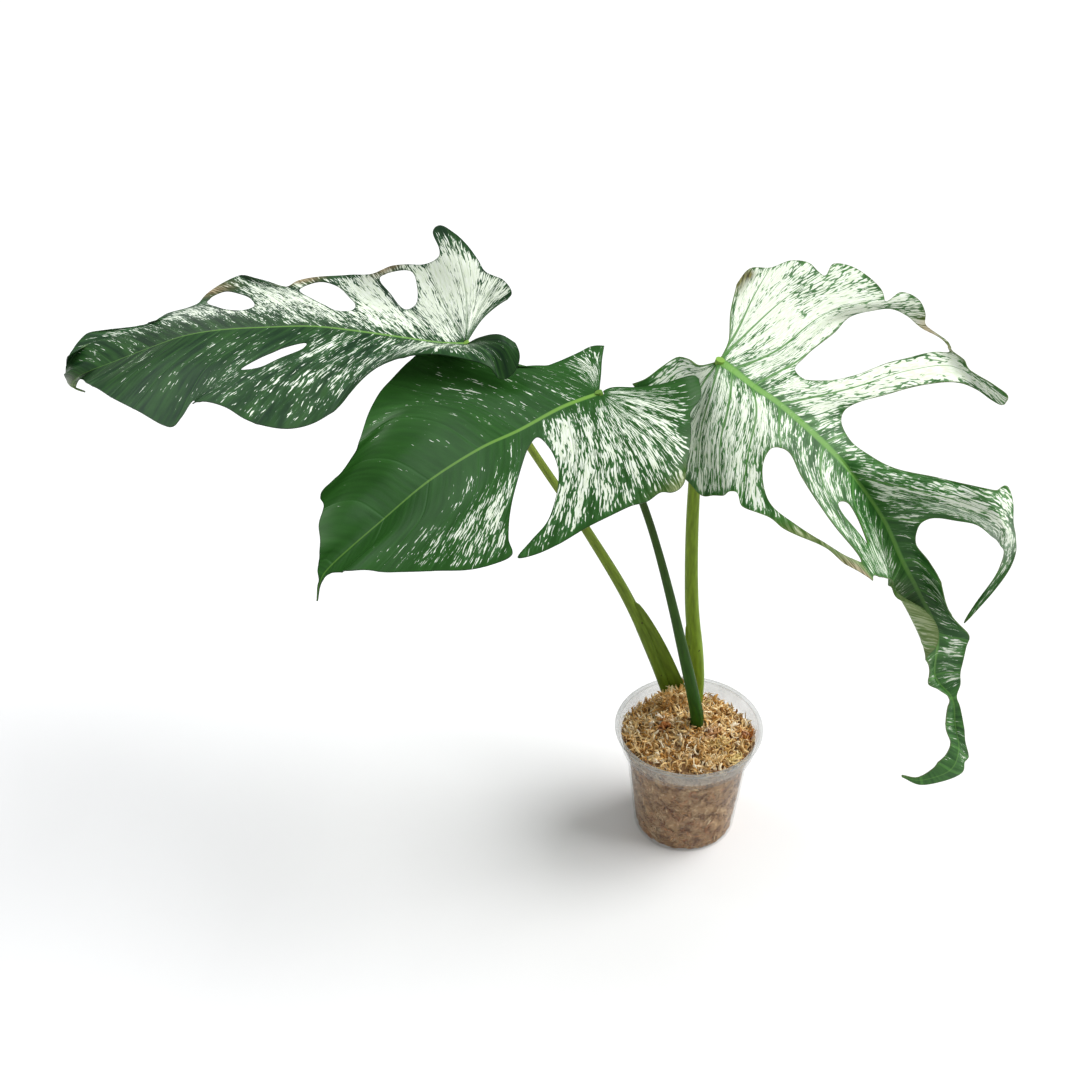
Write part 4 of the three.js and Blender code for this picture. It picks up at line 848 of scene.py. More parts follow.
    # Thin dark rim, tan dried strands and scorched places.
    rim = add(tree, "ShaderNodeMapRange", {
        "Value": facts["edge"], "From Min": 0.9, "From Max": 0.1, "To Min": 0, "To Max": 0.75,
    })
    colour = add(tree, "ShaderNodeMix", {0: rim, 6: colour, 7: look["rim"]}, 2, data_type="RGBA")
    for fact, (dark, light) in (("dry", DRIED), ("scorch", SCORCHED)):
        dead = add(tree, "ShaderNodeMix", {0: contrast, 6: linear(dark), 7: linear(light)}, 2,
            data_type="RGBA")
        colour = add(tree, "ShaderNodeMix", {0: facts[fact], 6: colour, 7: dead}, 2, data_type="RGBA")

    # The sunk line of each main side vein, the fine veins and the uneven cuticle.
    groove = add(tree, "ShaderNodeMapRange", {"Value": vein_gap, "From Min": 0, "From Max": 1.4})
    height = add(tree, "ShaderNodeMath", {0: ripple, 1: 0.12, 2: groove}, operation="MULTIPLY_ADD")
    height = add(tree, "ShaderNodeMath", {0: streaks, 1: 0.5, 2: height}, operation="MULTIPLY_ADD")
    bump = add(tree, "ShaderNodeBump", {"Height": height, "Strength": 0.35, "Distance": 0.0004})
    if underside:
        colour = add(tree, "ShaderNodeMix", {0: 0.35, 6: colour, 7: look["under"]}, 2, data_type="RGBA")
    gloss = add(tree, "ShaderNodeMapRange", {
        "Value": mark, "To Min": 0.5 if underside else 0.36, "To Max": 0.6 if underside else 0.46,
    })
    shader = add(tree, "ShaderNodeBsdfPrincipled", {
        "Base Color": colour, "Roughness": gloss, "Normal": bump, "IOR": 1.45,
        "Specular IOR Level": 0.22,
    })
    add(tree, "ShaderNodeOutputMaterial", {"Surface": shader})
    return material


# Stalks


def tube(bm, path, widths, sides, start_axis=None):
    """A closed tube along a path: a first ring is carried on from place to place. Widths are (wide, deep).
    Each vertex keeps how far round and along it is."""
    around_of, along_of = bm.verts.layers.float["around"], bm.verts.layers.float["along"]
    axis = start_axis or Vector((0, 0, 1)).cross(path[1] - path[0])
    if axis.length < 1e-9:
        axis = Vector((1, 0, 0))
    frames = []
    travelled = 0.0
    for i, point in enumerate(path):
        ahead = (path[min(i + 1, len(path) - 1)] - path[max(i - 1, 0)]).normalized()
        axis = (axis - ahead * axis.dot(ahead)).normalized()
        if i:
            travelled += (point - path[i - 1]).length
        turn = Matrix((axis, ahead.cross(axis), ahead)).transposed()
        ring = Matrix.Translation(point) @ turn.to_4x4() @ Matrix.Diagonal((*widths[i], 1, 1))
        frames.append((ring, travelled))
    verts = bmesh.ops.create_circle(bm, cap_ends=True, segments=sides, radius=1, matrix=frames[0][0])["verts"]
    for j, vert in enumerate(verts):
        vert[around_of] = j / sides
    edges = list({edge for vert in verts for edge in vert.link_edges})
    made = list(verts)
    for (before, _), (after, reached) in zip(frames, frames[1:]):
        grown = bmesh.ops.extrude_edge_only(bm, edges=edges)["geom"]
        verts = [item for item in grown if isinstance(item, bmesh.types.BMVert)]
        fresh = set(verts)
        edges = [
            item for item in grown
            if isinstance(item, bmesh.types.BMEdge) and fresh.issuperset(item.verts)
        ]
        bmesh.ops.transform(bm, matrix=after @ before.inverted(), verts=verts)
        for vert in verts:
            vert[along_of] = reached
        made += verts
    bmesh.ops.edgeloop_fill(bm, edges=edges)
    faces = list({face for vert in made for face in vert.link_faces})
    bmesh.ops.recalc_face_normals(bm, faces=faces)
    return made


def tube_bmesh():
    """An empty bmesh with the values that tubes keep."""
    bm = bmesh.new()
    bm.verts.layers.float.new("around")
    bm.verts.layers.float.new("along")
    return bm


def smooth_faces(bm, limit):
    """Smooth shading with sharp edges where faces turn by more than the limit, in radians."""
    bm.normal_update()
    for face in bm.faces:
        face.smooth = True
    for edge in bm.edges:
        edge.smooth = not (len(edge.link_faces) == 2 and edge.calc_face_angle(0.0) > limit)


def at_share(values, share):
    """A value between the given ones, at a share of the way along."""
    place = share * (len(values) - 1)
    i = min(len(values) - 2, math.floor(place))
    return values[i] + (values[i + 1] - values[i]) * (place - i)


def stalk_mesh(stalk):
    """A leaf stalk with a slight joint at the blade and the wing of its sheath at the foot."""
    route = curve_through([Vector(p) * MM for p in stalk["route"]], False, STALK_ROUTE_STEP)
    lengths = [0.0]
    for before, after in zip(route, route[1:]):
        lengths.append(lengths[-1] + (after - before).length)
    path = []
    place = 0
    for k in range(STALK_STEPS + 1):
        wanted = lengths[-1] * k / STALK_STEPS
        while place < len(route) - 2 and lengths[place + 1] < wanted:
            place += 1
        gap = lengths[place + 1] - lengths[place]
        path.append(route[place].lerp(route[place + 1], min(1.0, (wanted - lengths[place]) / gap)))
    bm = tube_bmesh()
    widths = []
    for k in range(STALK_STEPS + 1):
        share = k / STALK_STEPS
        joint = math.exp(-(((share - JOINT_PLACE) / JOINT_SPREAD) ** 2))
        radius = at_share(stalk["radii"], share) * (1 + JOINT_SWELLING * joint)
        flat = FLATNESS if share > FLAT_FROM else 1.0
        widths.append((radius * MM, radius * flat * MM))
    tube(bm, path, widths, STALK_SIDES)
    angle, wing_width, reach = stalk["wing"]
    outward = Vector((math.cos(math.radians(angle)), math.sin(math.radians(angle)), 0))
    last = round(STALK_STEPS * reach)
    wing_path = []
    wing_widths = []
    for k in range(last + 1):
        share = k / last
        width = wing_width * (1 - share) ** WING_TAPER * smooth(share + 0.25, 0, 0.4) + WING_LEAST
        radius = widths[k][0]
        wing_path.append(path[k] + outward * (radius * WING_MIDDLE + width * MM / 2))
        wing_widths.append((radius * WING_ROOT + width * MM / 2, WING_THICKNESS - WING_THINNING * share))
    tube(bm, wing_path, wing_widths, WING_SIDES, start_axis=outward)
    smooth_faces(bm, 1.2)
    around_of, along_of = bm.verts.layers.float["around"], bm.verts.layers.float["along"]
    uv = bm.loops.layers.uv.new("stalk_map")
    for face in bm.faces:
        turns = [loop.vert[around_of] for loop in face.loops]
        wraps = max(turns) - min(turns) > 0.5
        for loop, turn in zip(face.loops, turns):
            loop[uv].uv = (turn + 1 if wraps and turn < 0.5 else turn, loop.vert[along_of])
    return bm


def stalk_material(name, low, high, mark):
    """A living leaf stalk: smooth waxy skin with fine lengthwise streaks and a few dark flecks."""
    material, tree = new_material(name)
    place = add(tree, "ShaderNodeUVMap", uv_map="stalk_map")
    position = add(tree, "ShaderNodeTexCoord", out=3)
    rise = add(tree, "ShaderNodeSeparateXYZ", {0: position}, 2)
    grow = add(tree, "ShaderNodeMapRange", {"Value": rise, "From Min": 0.1, "From Max": 0.4})
    colour = add(tree, "ShaderNodeMix", {0: grow, 6: low, 7: high}, 2, data_type="RGBA")
    stretched = add(tree, "ShaderNodeVectorMath", {0: place, 1: (14, 60, 1)}, operation="MULTIPLY")
    streaks = add(tree, "ShaderNodeTexNoise", {"Vector": stretched, "Scale": 1, "Detail": 3})
    shade = add(tree, "ShaderNodeMapRange", {
        "Value": streaks, "From Min": 0.3, "From Max": 0.7, "To Min": 0.72, "To Max": 1.22,
    })
    colour = add(tree, "ShaderNodeHueSaturation", {"Color": colour, "Value": shade})
    flecks = add(tree, "ShaderNodeTexNoise", {"Vector": position, "Scale": 210, "Detail": 1})
    fleck = add(tree, "ShaderNodeMapRange", {"Value": flecks, "From Min": 0.73, "From Max": 0.77})
    colour = add(tree, "ShaderNodeMix", {0: fleck, 6: colour, 7: mark}, 2, data_type="RGBA")
    joint = add(tree, "ShaderNodeMapRange", {
        "Value": rise, "From Min": JOINT_RISE[0], "From Max": JOINT_RISE[1], "To Max": 0.8,
    })
    colour = add(tree, "ShaderNodeMix", {0: joint, 6: colour, 7: linear(JOINT_GREEN)}, 2, data_type="RGBA")
    bump = add(tree, "ShaderNodeBump", {"Height": streaks, "Strength": 0.3, "Distance": 0.0003})
    shader = add(tree, "ShaderNodeBsdfPrincipled", {
        "Base Color": colour, "Roughness": 0.5, "Normal": bump, "IOR": 1.4, "Specular IOR Level": 0.22,
    })
    add(tree, "ShaderNodeOutputMaterial", {"Surface": shader})
    return material


def stem_material():
    """The buried stem and roots: dull olive-brown skin, mottled by the damp moss round it."""
    material, tree = new_material("buried stem skin")
    position = add(tree, "ShaderNodeTexCoord", out=3)
    mottle = add(tree, "ShaderNodeTexNoise", {"Vector": position, "Scale": 160, "Detail": 4})
    colour = add(tree, "ShaderNodeMix", {0: mottle, 6: linear("#5A5B2A"), 7: linear("#8C7A4E")}, 2,
        data_type="RGBA")
    bump = add(tree, "ShaderNodeBump", {"Height": mottle, "Strength": 0.4, "Distance": 0.0006})
    shader = add(tree, "ShaderNodeBsdfPrincipled", {
        "Base Color": colour, "Roughness": 0.7, "Normal": bump, "IOR": 1.45,
    })
    add(tree, "ShaderNodeOutputMaterial", {"Surface": shader})
    return material


# Pot and moss


def inner_radius(height):
    """The pot's inside radius at a height, in millimetres."""
    if height > STEP_HEIGHT:
        share = (height - STEP_HEIGHT) / (RIM_HEIGHT - STEP_HEIGHT)
        return STEP_OUTER_RADIUS + (RIM_RADIUS - LIP - STEP_OUTER_RADIUS) * share - WALL
    return FOOT_RADIUS + (BODY_RADIUS - FOOT_RADIUS) * height / STEP_HEIGHT - WALL


def spun(bm, profile, steps):
    """A profile of (radius, height) in millimetres turned round the upright axis, with its poles closed."""
    verts = [bm.verts.new((radius * MM, 0, height * MM)) for radius, height in profile]
    edges = [bm.edges.new(pair) for pair in zip(verts, verts[1:])]
    bmesh.ops.spin(bm, geom=verts + edges, axis=(0, 0, 1), cent=(0, 0, 0), angle=2 * math.pi, steps=steps,
        use_merge=True)
    bmesh.ops.remove_doubles(bm, verts=bm.verts[:], dist=1e-6)
    bmesh.ops.recalc_face_normals(bm, faces=bm.faces[:])


def pot_mesh(segments):
    """The pot: a thin tapered cup with a closed floor, a step ring, a flared collar and a rolled rim. Each
    run of its profile is (radius, height), from the middle of the underside out, up and back down inside."""
    turns = [math.radians(-60 + 25 * k) for k in range(7)]
    rim = [
        (
            RIM_RADIUS - ROLL_HALF_WIDTH + ROLL_HALF_WIDTH * math.cos(turn),
            RIM_HEIGHT - ROLL_HALF_HEIGHT + ROLL_HALF_HEIGHT * math.sin(turn),
        )
        for turn in turns
    ]
    step = [
        (BODY_RADIUS + (STEP_OUTER_RADIUS - BODY_RADIUS) * smooth(k, 0, 5), STEP_HEIGHT - 3 + 2.4 * k / 5)
        for k in range(6)
    ]
    outer = [(0, 0), (FOOT_RADIUS - 2.4, 0), (FOOT_RADIUS - 1.2, 0.15), (FOOT_RADIUS - 0.35, 0.7),
        (FOOT_RADIUS, 1.6), (FOOT_RADIUS + 0.5, 6)]
    collar = [(RIM_RADIUS - LIP, RIM_HEIGHT - 3.4), (RIM_RADIUS - LIP + 0.3, RIM_HEIGHT - 2.9)]
    ledge = [
        (inner_radius(STEP_HEIGHT + 0.2), STEP_HEIGHT + 0.9),
        (inner_radius(STEP_HEIGHT + 0.1) - 1, STEP_HEIGHT + 0.4),
        (inner_radius(STEP_HEIGHT) + 0.4, STEP_HEIGHT + 0.1),
        (inner_radius(STEP_HEIGHT), STEP_HEIGHT - 0.8),
    ]
    inner = [(inner_radius(RIM_HEIGHT), RIM_HEIGHT - 0.6), *ledge, (inner_radius(6), 6),
        (inner_radius(WALL) - 0.1, WALL + 0.6), (inner_radius(WALL) - 0.9, WALL), (0, WALL)]
    bm = bmesh.new()
    spun(bm, [*outer, *step, *collar, *rim, *inner], segments)
    smooth_faces(bm, 0.7)
    return bm


def moss_height(x, y):
    """Height of the moss at a place, all in millimetres: a sloping bed with a mound at the stalks."""
    away = math.hypot(x - MOUND_CENTRE[0], y - MOUND_CENTRE[1]) / MOUND_SPREAD
    lumps = 1.6 * noise.noise(Vector((x, y, 0)) * 0.055) + 1.4 * noise.noise(Vector((x, y, 40)) * 0.13)
    bed = MOSS_HEIGHT + MOSS_SLOPE[0] * x + MOSS_SLOPE[1] * y
    return bed - 1 + MOUND_RISE * math.exp(-away * away) + lumps


def keep_in_pot(point):
    """A point of the moss, in metres, moved off the pot's wall and floor."""
    height = max(point.z / MM, WALL + MOSS_CLEARANCE)
    beside = STEP_HEIGHT if STEP_HEIGHT < height < STEP_HEIGHT + 1.2 else min(height, RIM_HEIGHT)
    reach = math.hypot(point.x, point.y) / MM
    shrink = min(1.0, (inner_radius(beside) - MOSS_CLEARANCE) / max(reach, 1))
    return Vector((point.x * shrink, point.y * shrink, height * MM))


def moss_core_mesh():
    """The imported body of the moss, with a rough surface."""
    top = [(MOSS_REACH * k / TOP_RINGS, MOSS_HEIGHT) for k in range(TOP_RINGS + 1)]
    collar = [
        (MOSS_REACH + 1, STEP_HEIGHT + (MOSS_HEIGHT - STEP_HEIGHT) * (1 - k / COLLAR_RINGS))
        for k in range(1, COLLAR_RINGS)
    ]
    side = STEP_HEIGHT - CORE_FLOOR
    heights = [side * (1 - k / WALL_RINGS) + CORE_FLOOR for k in range(WALL_RINGS + 1)]
    wall = [(inner_radius(height) - CORE_WALL_INSET, height) for height in heights]
    bm = bmesh.new()
    spun(bm, [*top, *collar, *wall, (0, CORE_FLOOR)], CORE_SEGMENTS)
    for vert in bm.verts:
        x, y, z = vert.co / MM
        reach = math.hypot(x, y)
        rise = (z - STEP_HEIGHT) / (MOSS_HEIGHT - STEP_HEIGHT)
        if rise > 0.01:
            surface = moss_height(x, y) - CORE_UNDER - EDGE_SINK * smooth(reach, *EDGE_BAND)
            z = STEP_HEIGHT + (surface - STEP_HEIGHT) * rise
            if reach > MOSS_REACH + 0.5:
                x, y = (value / reach * (inner_radius(z) - CORE_INSET) for value in (x, y))
        elif reach > 20:
            inward = 1 - (0.4 + 0.8 * noise.noise(Vector((x, y, z)) * 0.16)) / reach
            x, y = x * inward, y * inward
        point = Vector((x, y, z)) * MM
        rough = noise.noise_vector(point * CORE_WAVES_PER_METRE) * CORE_ROUGHNESS * MM
        vert.co = keep_in_pot(point + rough)
    smooth_faces(bm, 3)
    return bm


def sprig_mesh(draw):
    """One bit of dried moss: a curly tapering thread with a few short side threads."""
    bm = tube_bmesh()
    length = draw.uniform(*SPRIG_LENGTH) * MM
    bend, twist = draw.uniform(1.2, 4.6), draw.uniform(-2.5, 2.5)
    path = []
    heading = Vector((1, 0, 0))
    point = Vector()
    links = len(SPRIG_WIDTHS) - 1
    for _ in SPRIG_WIDTHS:
        path.append(point.copy())
        turn = Matrix.Rotation(bend / links, 3, "Z") @ Matrix.Rotation(twist / links, 3, "Y")
        point = point + heading * length / links
        heading = turn @ heading
    middle = path[links // 2].copy()
    thick = draw.uniform(*SPRIG_RADIUS) * MM
    widths = [(thick * width, thick * width * 0.7) for width in SPRIG_WIDTHS]
    tube(bm, path, widths, 4)
    for k in THREAD_PLACES:
        side = Vector((draw.uniform(-1, 1), draw.uniform(-1, 1), draw.uniform(-1, 1))).normalized()
        short = draw.uniform(*THREAD_LENGTH) * MM
        tube(bm, [path[k], path[k] + side * short * 0.6, path[k] + side * short],
            [(thick * 0.7, thick * 0.5), (thick * 0.6, thick * 0.4), (thick * 0.15, thick * 0.15)], 3)
    bmesh.ops.translate(bm, vec=-middle, verts=bm.verts[:])
    smooth_faces(bm, 2)
    for key in MOSS_TINTS:
        bm.verts.layers.float.new(key)
    mesh = bpy.data.meshes.new("bit")
    bm.to_mesh(mesh)
    bm.free()
    return mesh


def nearness(x, y, spots):
    """How near a place is to one of the given spots, from 0 to 1."""
    return min(1.0, sum(math.exp(-((x - a) ** 2 + (y - b) ** 2) / radius ** 2) for a, b, radius in spots))


def any_turn(draw, tilt):
    """A random turn whose tilt out of the level is about the given angle, in radians."""
    level = Matrix.Rotation(draw.uniform(0, 2 * math.pi), 4, "Z")
    lift = Matrix.Rotation(draw.gauss(0, tilt), 4, "Y")
    return level @ lift @ Matrix.Rotation(draw.uniform(0, 2 * math.pi), 4, "X")


def top_places(draw, count, shapes):
    """Places of the loose bits on top: (shape number, matrix, tone, rust, straw)."""
    feet = [(Vector(s["route"][1]), s["radii"][1]) for s in STALKS.values()]
    places = []
    while len(places) < count:
        reach, angle = MOSS_REACH * math.sqrt(draw.random()), draw.uniform(0, 2 * math.pi)
        x, y = reach * math.cos(angle), reach * math.sin(angle)
        z = moss_height(x, y) - EDGE_SINK * smooth(reach, *EDGE_BAND) + draw.uniform(*TOP_LIFT)
        if len(places) > BED_SHARE * count:
            x, y = (draw.gauss(centre, CLIMBING_TUFT[2]) for centre in CLIMBING_TUFT[:2])
            z = moss_height(x, y) + draw.uniform(0, TUFT_HEIGHT)
        if any(math.hypot(x - foot.x, y - foot.y) < radius + 0.5 for foot, radius in feet):
            continue
        place = Matrix.Translation(Vector((x, y, z)) * MM) @ any_turn(draw, TOP_TILT)
        place @= Matrix.Scale(draw.uniform(*TOP_SIZES), 4)
        tone = min(1, max(0, draw.gauss(*TOP_TONE)))
        places.append((draw.randrange(shapes), place, tone, nearness(x, y, RUSTY_MOSS),
            nearness(x, y, YELLOW_MOSS)))
    return places


def wall_places(draw, count, shapes):
    """Places of the bits that press against the wall: (shape number, matrix, tone, rust, straw)."""
    places = []
    for _ in range(count):
        angle = draw.uniform(0, 2 * math.pi)
        turned = Vector((math.cos(angle), math.sin(angle), 0))
        edge = moss_height(MOSS_REACH * turned.x, MOSS_REACH * turned.y) - 3
        dry = draw.random() < DRY_SHARE
        height = draw.uniform(STEP_HEIGHT + 2, edge) if dry else draw.uniform(3, edge)
        beside = height if height > STEP_HEIGHT + 1.5 else min(height, STEP_HEIGHT)
        point = (turned * (inner_radius(beside) - WALL_INSET) + Vector((0, 0, height))) * MM
        lean = Matrix.Rotation(draw.uniform(0, 2 * math.pi), 4, "Y")
        turn = Matrix.Rotation(angle + math.pi / 2, 4, "Z") @ lean
        flat = turn @ Matrix.Scale(WALL_FLATNESS, 4, (0, 1, 0)) @ Matrix.Rotation(math.pi / 2, 4, "X")
        place = Matrix.Translation(point) @ flat @ Matrix.Scale(draw.uniform(*WALL_SIZES), 4)
        rust = 0.35 * draw.random() ** 3
        tone = draw.gauss(DRY_TONE if dry else DAMP_TONE, TONE_SPREAD)
        places.append((draw.randrange(shapes), place, min(1, max(0, tone)), rust, 0))
    return places


def scattered(shapes, places):
    """Copies of a few shapes joined in one bmesh and kept inside the pot. A place is (shape number, matrix,
    tone, rust, straw)."""
    bm = bmesh.new()
    for number, matrix, *tints in places:
        shape = shapes[number]
        for key, tint in zip(MOSS_TINTS, tints):
            shape.attributes[key].data.foreach_set("value", [tint] * len(shape.vertices))
        shape.transform(matrix)
        bm.from_mesh(shape)
        shape.transform(matrix.inverted())
    for vert in bm.verts:
        vert.co = keep_in_pot(vert.co)
    return bm


def moss_material(name, tones, clump_size, clump_share):
    """Dried long-fibred moss: matt straw-coloured fibres from pale gold to brown, a few rusty or yellow."""
    material, tree = new_material(name)
    facts = {
        key: add(tree, "ShaderNodeAttribute", out=2, attribute_name=key) for key in MOSS_TINTS
    }
    position = add(tree, "ShaderNodeTexCoord", out=3)
    grain = add(tree, "ShaderNodeTexNoise", {"Vector": position, "Scale": 420, "Detail": 3})
    clump = add(tree, "ShaderNodeTexNoise", {"Vector": position, "Scale": 1 / (clump_size * MM), "Detail": 3})
    value = add(tree, "ShaderNodeMath", {0: clump, 1: clump_share, 2: facts["tone"]},
        operation="MULTIPLY_ADD")
    colour = tones[0]
    for low, shade in zip((0.35, 0.62, 0.95, 1.18), tones[1:]):
        part = add(tree, "ShaderNodeMapRange", {"Value": value, "From Min": low, "From Max": low + 0.2})
        colour = add(tree, "ShaderNodeMix", {0: part, 6: colour, 7: shade}, 2, data_type="RGBA")
    shade = add(tree, "ShaderNodeMapRange", {"Value": grain, "From Min": 0.3, "From Max": 0.7,
        "To Min": 0.8, "To Max": 1.2})
    colour = add(tree, "ShaderNodeHueSaturation", {"Color": colour, "Value": shade})
    for key, tint in (("rust", "#C4642A"), ("straw", "#F0D98C")):
        share = add(tree, "ShaderNodeMath", {0: facts[key], 1: 0.75}, operation="MULTIPLY")
        colour = add(tree, "ShaderNodeMix", {0: share, 6: colour, 7: linear(tint)}, 2, data_type="RGBA")
    bump = add(tree, "ShaderNodeBump", {"Height": grain, "Strength": 0.6, "Distance": 0.0006})
    shader = add(tree, "ShaderNodeBsdfPrincipled", {
        "Base Color": colour, "Roughness": 0.9, "Normal": bump, "IOR": 1.4,
    })
    add(tree, "ShaderNodeOutputMaterial", {"Surface": shader})
    return material


def pot_material():
    """Clear polypropylene, vacuum formed: nearly clear where damp moss presses on it, milky on the dry
    collar, thicker along the rim and the step, and softly glossy."""
    material, tree = new_material("vacuum-formed clear polypropylene")
    position = add(tree, "ShaderNodeTexCoord", out=3)
    height = add(tree, "ShaderNodeSeparateXYZ", {0: position}, 2)
    haze = add(tree, "ShaderNodeTexNoise", {"Vector": position, "Scale": 45, "Detail": 4})
    rough = add(tree, "ShaderNodeMapRange", {"Value": haze, "From Min": 0.3, "From Max": 0.7,
        "To Min": 0.25, "To Max": 0.42})
    uneven = add(tree, "ShaderNodeMapRange", {"Value": haze, "From Min": 0.3, "From Max": 0.7,
        "To Min": 0.75, "To Max": 1.25})
    collar = add(tree, "ShaderNodeMapRange", {
        "Value": height, "From Min": (STEP_HEIGHT + 1) * MM, "From Max": (STEP_HEIGHT + 5) * MM,
        "To Min": CLEAR_HAZE, "To Max": DRY_HAZE,
    })
    milk = add(tree, "ShaderNodeMath", {0: collar, 1: uneven}, operation="MULTIPLY")
    for middle, spread, share in MILKY_RINGS:
        off = add(tree, "ShaderNodeMath", {0: height, 1: middle * MM}, operation="SUBTRACT")
        off = add(tree, "ShaderNodeMath", {0: off}, operation="ABSOLUTE")
        ring = add(tree, "ShaderNodeMapRange", {"Value": off, "From Min": spread * MM, "From Max": 0,
            "To Min": 0, "To Max": share}, interpolation_type="SMOOTHSTEP")
        milk = add(tree, "ShaderNodeMath", {0: milk, 1: ring}, operation="ADD")
    grazing = add(tree, "ShaderNodeLayerWeight", {"Blend": 0.35}, 1)
    solid = add(tree, "ShaderNodeMapRange", {"Value": grazing, "From Min": 0.5, "From Max": 1,
        "To Min": 0, "To Max": 0.3})
    solid = add(tree, "ShaderNodeMath", {0: solid, 1: milk}, operation="ADD")
    ripple = add(tree, "ShaderNodeTexNoise", {"Vector": position, "Scale": 120, "Detail": 2})
    bump = add(tree, "ShaderNodeBump", {"Height": ripple, "Strength": 0.25, "Distance": 0.0004})
    tint = add(tree, "ShaderNodeMix", {0: haze, 6: linear("#ABADAB"), 7: linear("#BEC0BD")}, 2,
        data_type="RGBA")
    shader = add(tree, "ShaderNodeBsdfPrincipled", {
        "Base Color": tint, "Roughness": rough, "Alpha": solid, "IOR": 1.49, "Normal": bump,
    })
    add(tree, "ShaderNodeOutputMaterial", {"Surface": shader})
    return material


# What a user would change


def colour_property(name, description, hex_colour):
    """A colour that a user would change."""
    return bpy.props.FloatVectorProperty(name=name, description=description, subtype="COLOR", size=4,
        min=0, max=1, default=linear(hex_colour))


class MonsteraLeafSettings(bpy.types.PropertyGroup):
    """Colours of the leaves."""

    left_green: colour_property("Left green", "Green of the left leaf", "#2C5224")
    middle_green: colour_property("Middle green", "Green of the middle leaf", "#2B5920")
    right_green: colour_property("Right green", "Green of the right leaf", "#40752F")
    white: colour_property("White", "White parts of the blades", "#EEF4E9")
    cream: colour_property("Cream", "Cream parts of the blades", "#DAE6C9")
    midrib: colour_property("Midrib", "Midrib of the right leaf", "#71A44A")


class MonsteraStalkSettings(bpy.types.PropertyGroup):
    """Colours of the stalks."""

    olive: colour_property("Olive", "Upper skin of the left stalk", "#80923C")
    dark: colour_property("Dark", "Upper skin of the middle stalk", "#33480F")


class MonsteraPotSettings(bpy.types.PropertyGroup):
    """The pot and its moss."""

    segments: bpy.props.IntProperty(name="Segments", description="Faces round the pot", default=128, min=32)
    top_sprigs: bpy.props.IntProperty(name="Top sprigs", description="Bits of moss on top",
        default=1150, min=0)
    wall_sprigs: bpy.props.IntProperty(name="Wall sprigs", description="Bits of moss against the wall",
        default=1300, min=0)
    seed: bpy.props.IntProperty(name="Seed", description="Changes how the moss lies", default=7, min=1)


class MonsteraStageSettings(bpy.types.PropertyGroup):
    """The floor, lights and camera."""

    floor_size: bpy.props.FloatProperty(name="Floor size", description="Side of the floor", default=8,
        unit="LENGTH")
    focal_length: bpy.props.FloatProperty(name="Focal length", description="Lens of the camera", default=68,
        unit="CAMERA")
    camera_tilt: bpy.props.FloatProperty(name="Camera tilt", description="Turn up from looking straight down",
        default=math.radians(52.2), subtype="ANGLE")


# Operators


class MONSTERA_OT_leaves(bpy.types.Operator):
    """Builds the three blades with their veins, holes and white markings"""

    bl_idname = "monstera.leaves"
    bl_label = "Leaves"

    def execute(self, context):
        settings = context.scene.monstera_leaves
        looks = {
            "left": {
                "green": settings.left_green, "deep": linear("#15331A"), "mid": linear("#4E7156"),
                "vein": linear("#3A632F"), "midrib": linear("#74A04E"), "rim": linear("#1F381C"),
                "under": linear("#7F9A68"), "vein_share": 0.5, "vein_width": 0.8, "midrib_width": 2.2,
                "axis_green": 0.12, "cell": (1.7, 11), "net": 0.09, "net_width": 0.2,
            },
            "middle": {
                "green": settings.middle_green, "deep": linear("#224C19"), "mid": linear("#4C784C"),
                "vein": linear("#376430"), "midrib": linear("#78A546"), "rim": linear("#1F3A1A"),
                "under": linear("#4C6B38"), "vein_share": 0.3, "vein_width": 0.7, "midrib_width": 2.8,
                "axis_green": 0.14, "cell": (1.4, 12), "net": 0.11, "net_width": 0.2,
            },
            "right": {
                "green": settings.right_green, "deep": linear("#24521F"), "mid": linear("#7CA676"),
                "vein": linear("#4C8238"), "midrib": settings.midrib, "rim": linear("#5A6E38"),
                "under": linear("#6E8549"), "vein_share": 0.9, "vein_width": 1.4, "midrib_width": 4.3,
                "axis_green": 0.24, "cell": (1.9, 12), "net": 0.1, "net_width": 0.18,
            },
        }
        for key, leaf in LEAVES.items():
            look = dict(looks[key], white=settings.white, cream=settings.cream, tip=len(leaf["ribs"]) - 1)
            materials = [
                leaf_material("waxy leaf cuticle, " + key, look),
                leaf_material("leaf underside, " + key, look, underside=True),
            ]
            finish_piece("blade_" + key, blade_mesh(leaf), materials, ["leaf_" + key])
        return {"FINISHED"}


class MONSTERA_OT_stalks(bpy.types.Operator):
    """Builds the three leaf stalks with their sheaths"""

    bl_idname = "monstera.stalks"
    bl_label = "Stalks"

    def execute(self, context):
        settings = context.scene.monstera_stalks
        skins = {
            "left": (linear("#5C7618"), settings.olive),
            "middle": (linear("#255008"), settings.dark),
            "right": (linear("#738E22"), linear("#6F8724")),
        }
        for key, stalk in STALKS.items():
            low, high = skins[key]
            material = stalk_material("waxy stalk skin, " + key, low, high, linear("#3A3A14"))
            finish_piece("stalk_" + key, stalk_mesh(stalk), [material], ["petiole_" + key])
        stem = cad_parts["stem"]
        stem.data.materials.clear()
        stem.data.materials.append(stem_material())
        return {"FINISHED"}


class MONSTERA_OT_pot(bpy.types.Operator):
    """Builds the clear nursery pot"""

    bl_idname = "monstera.pot"
    bl_label = "Pot"

    def execute(self, context):
        settings = context.scene.monstera_pot
        finish_piece("nursery_pot", pot_mesh(settings.segments), [pot_material()], ["pot"])
        return {"FINISHED"}


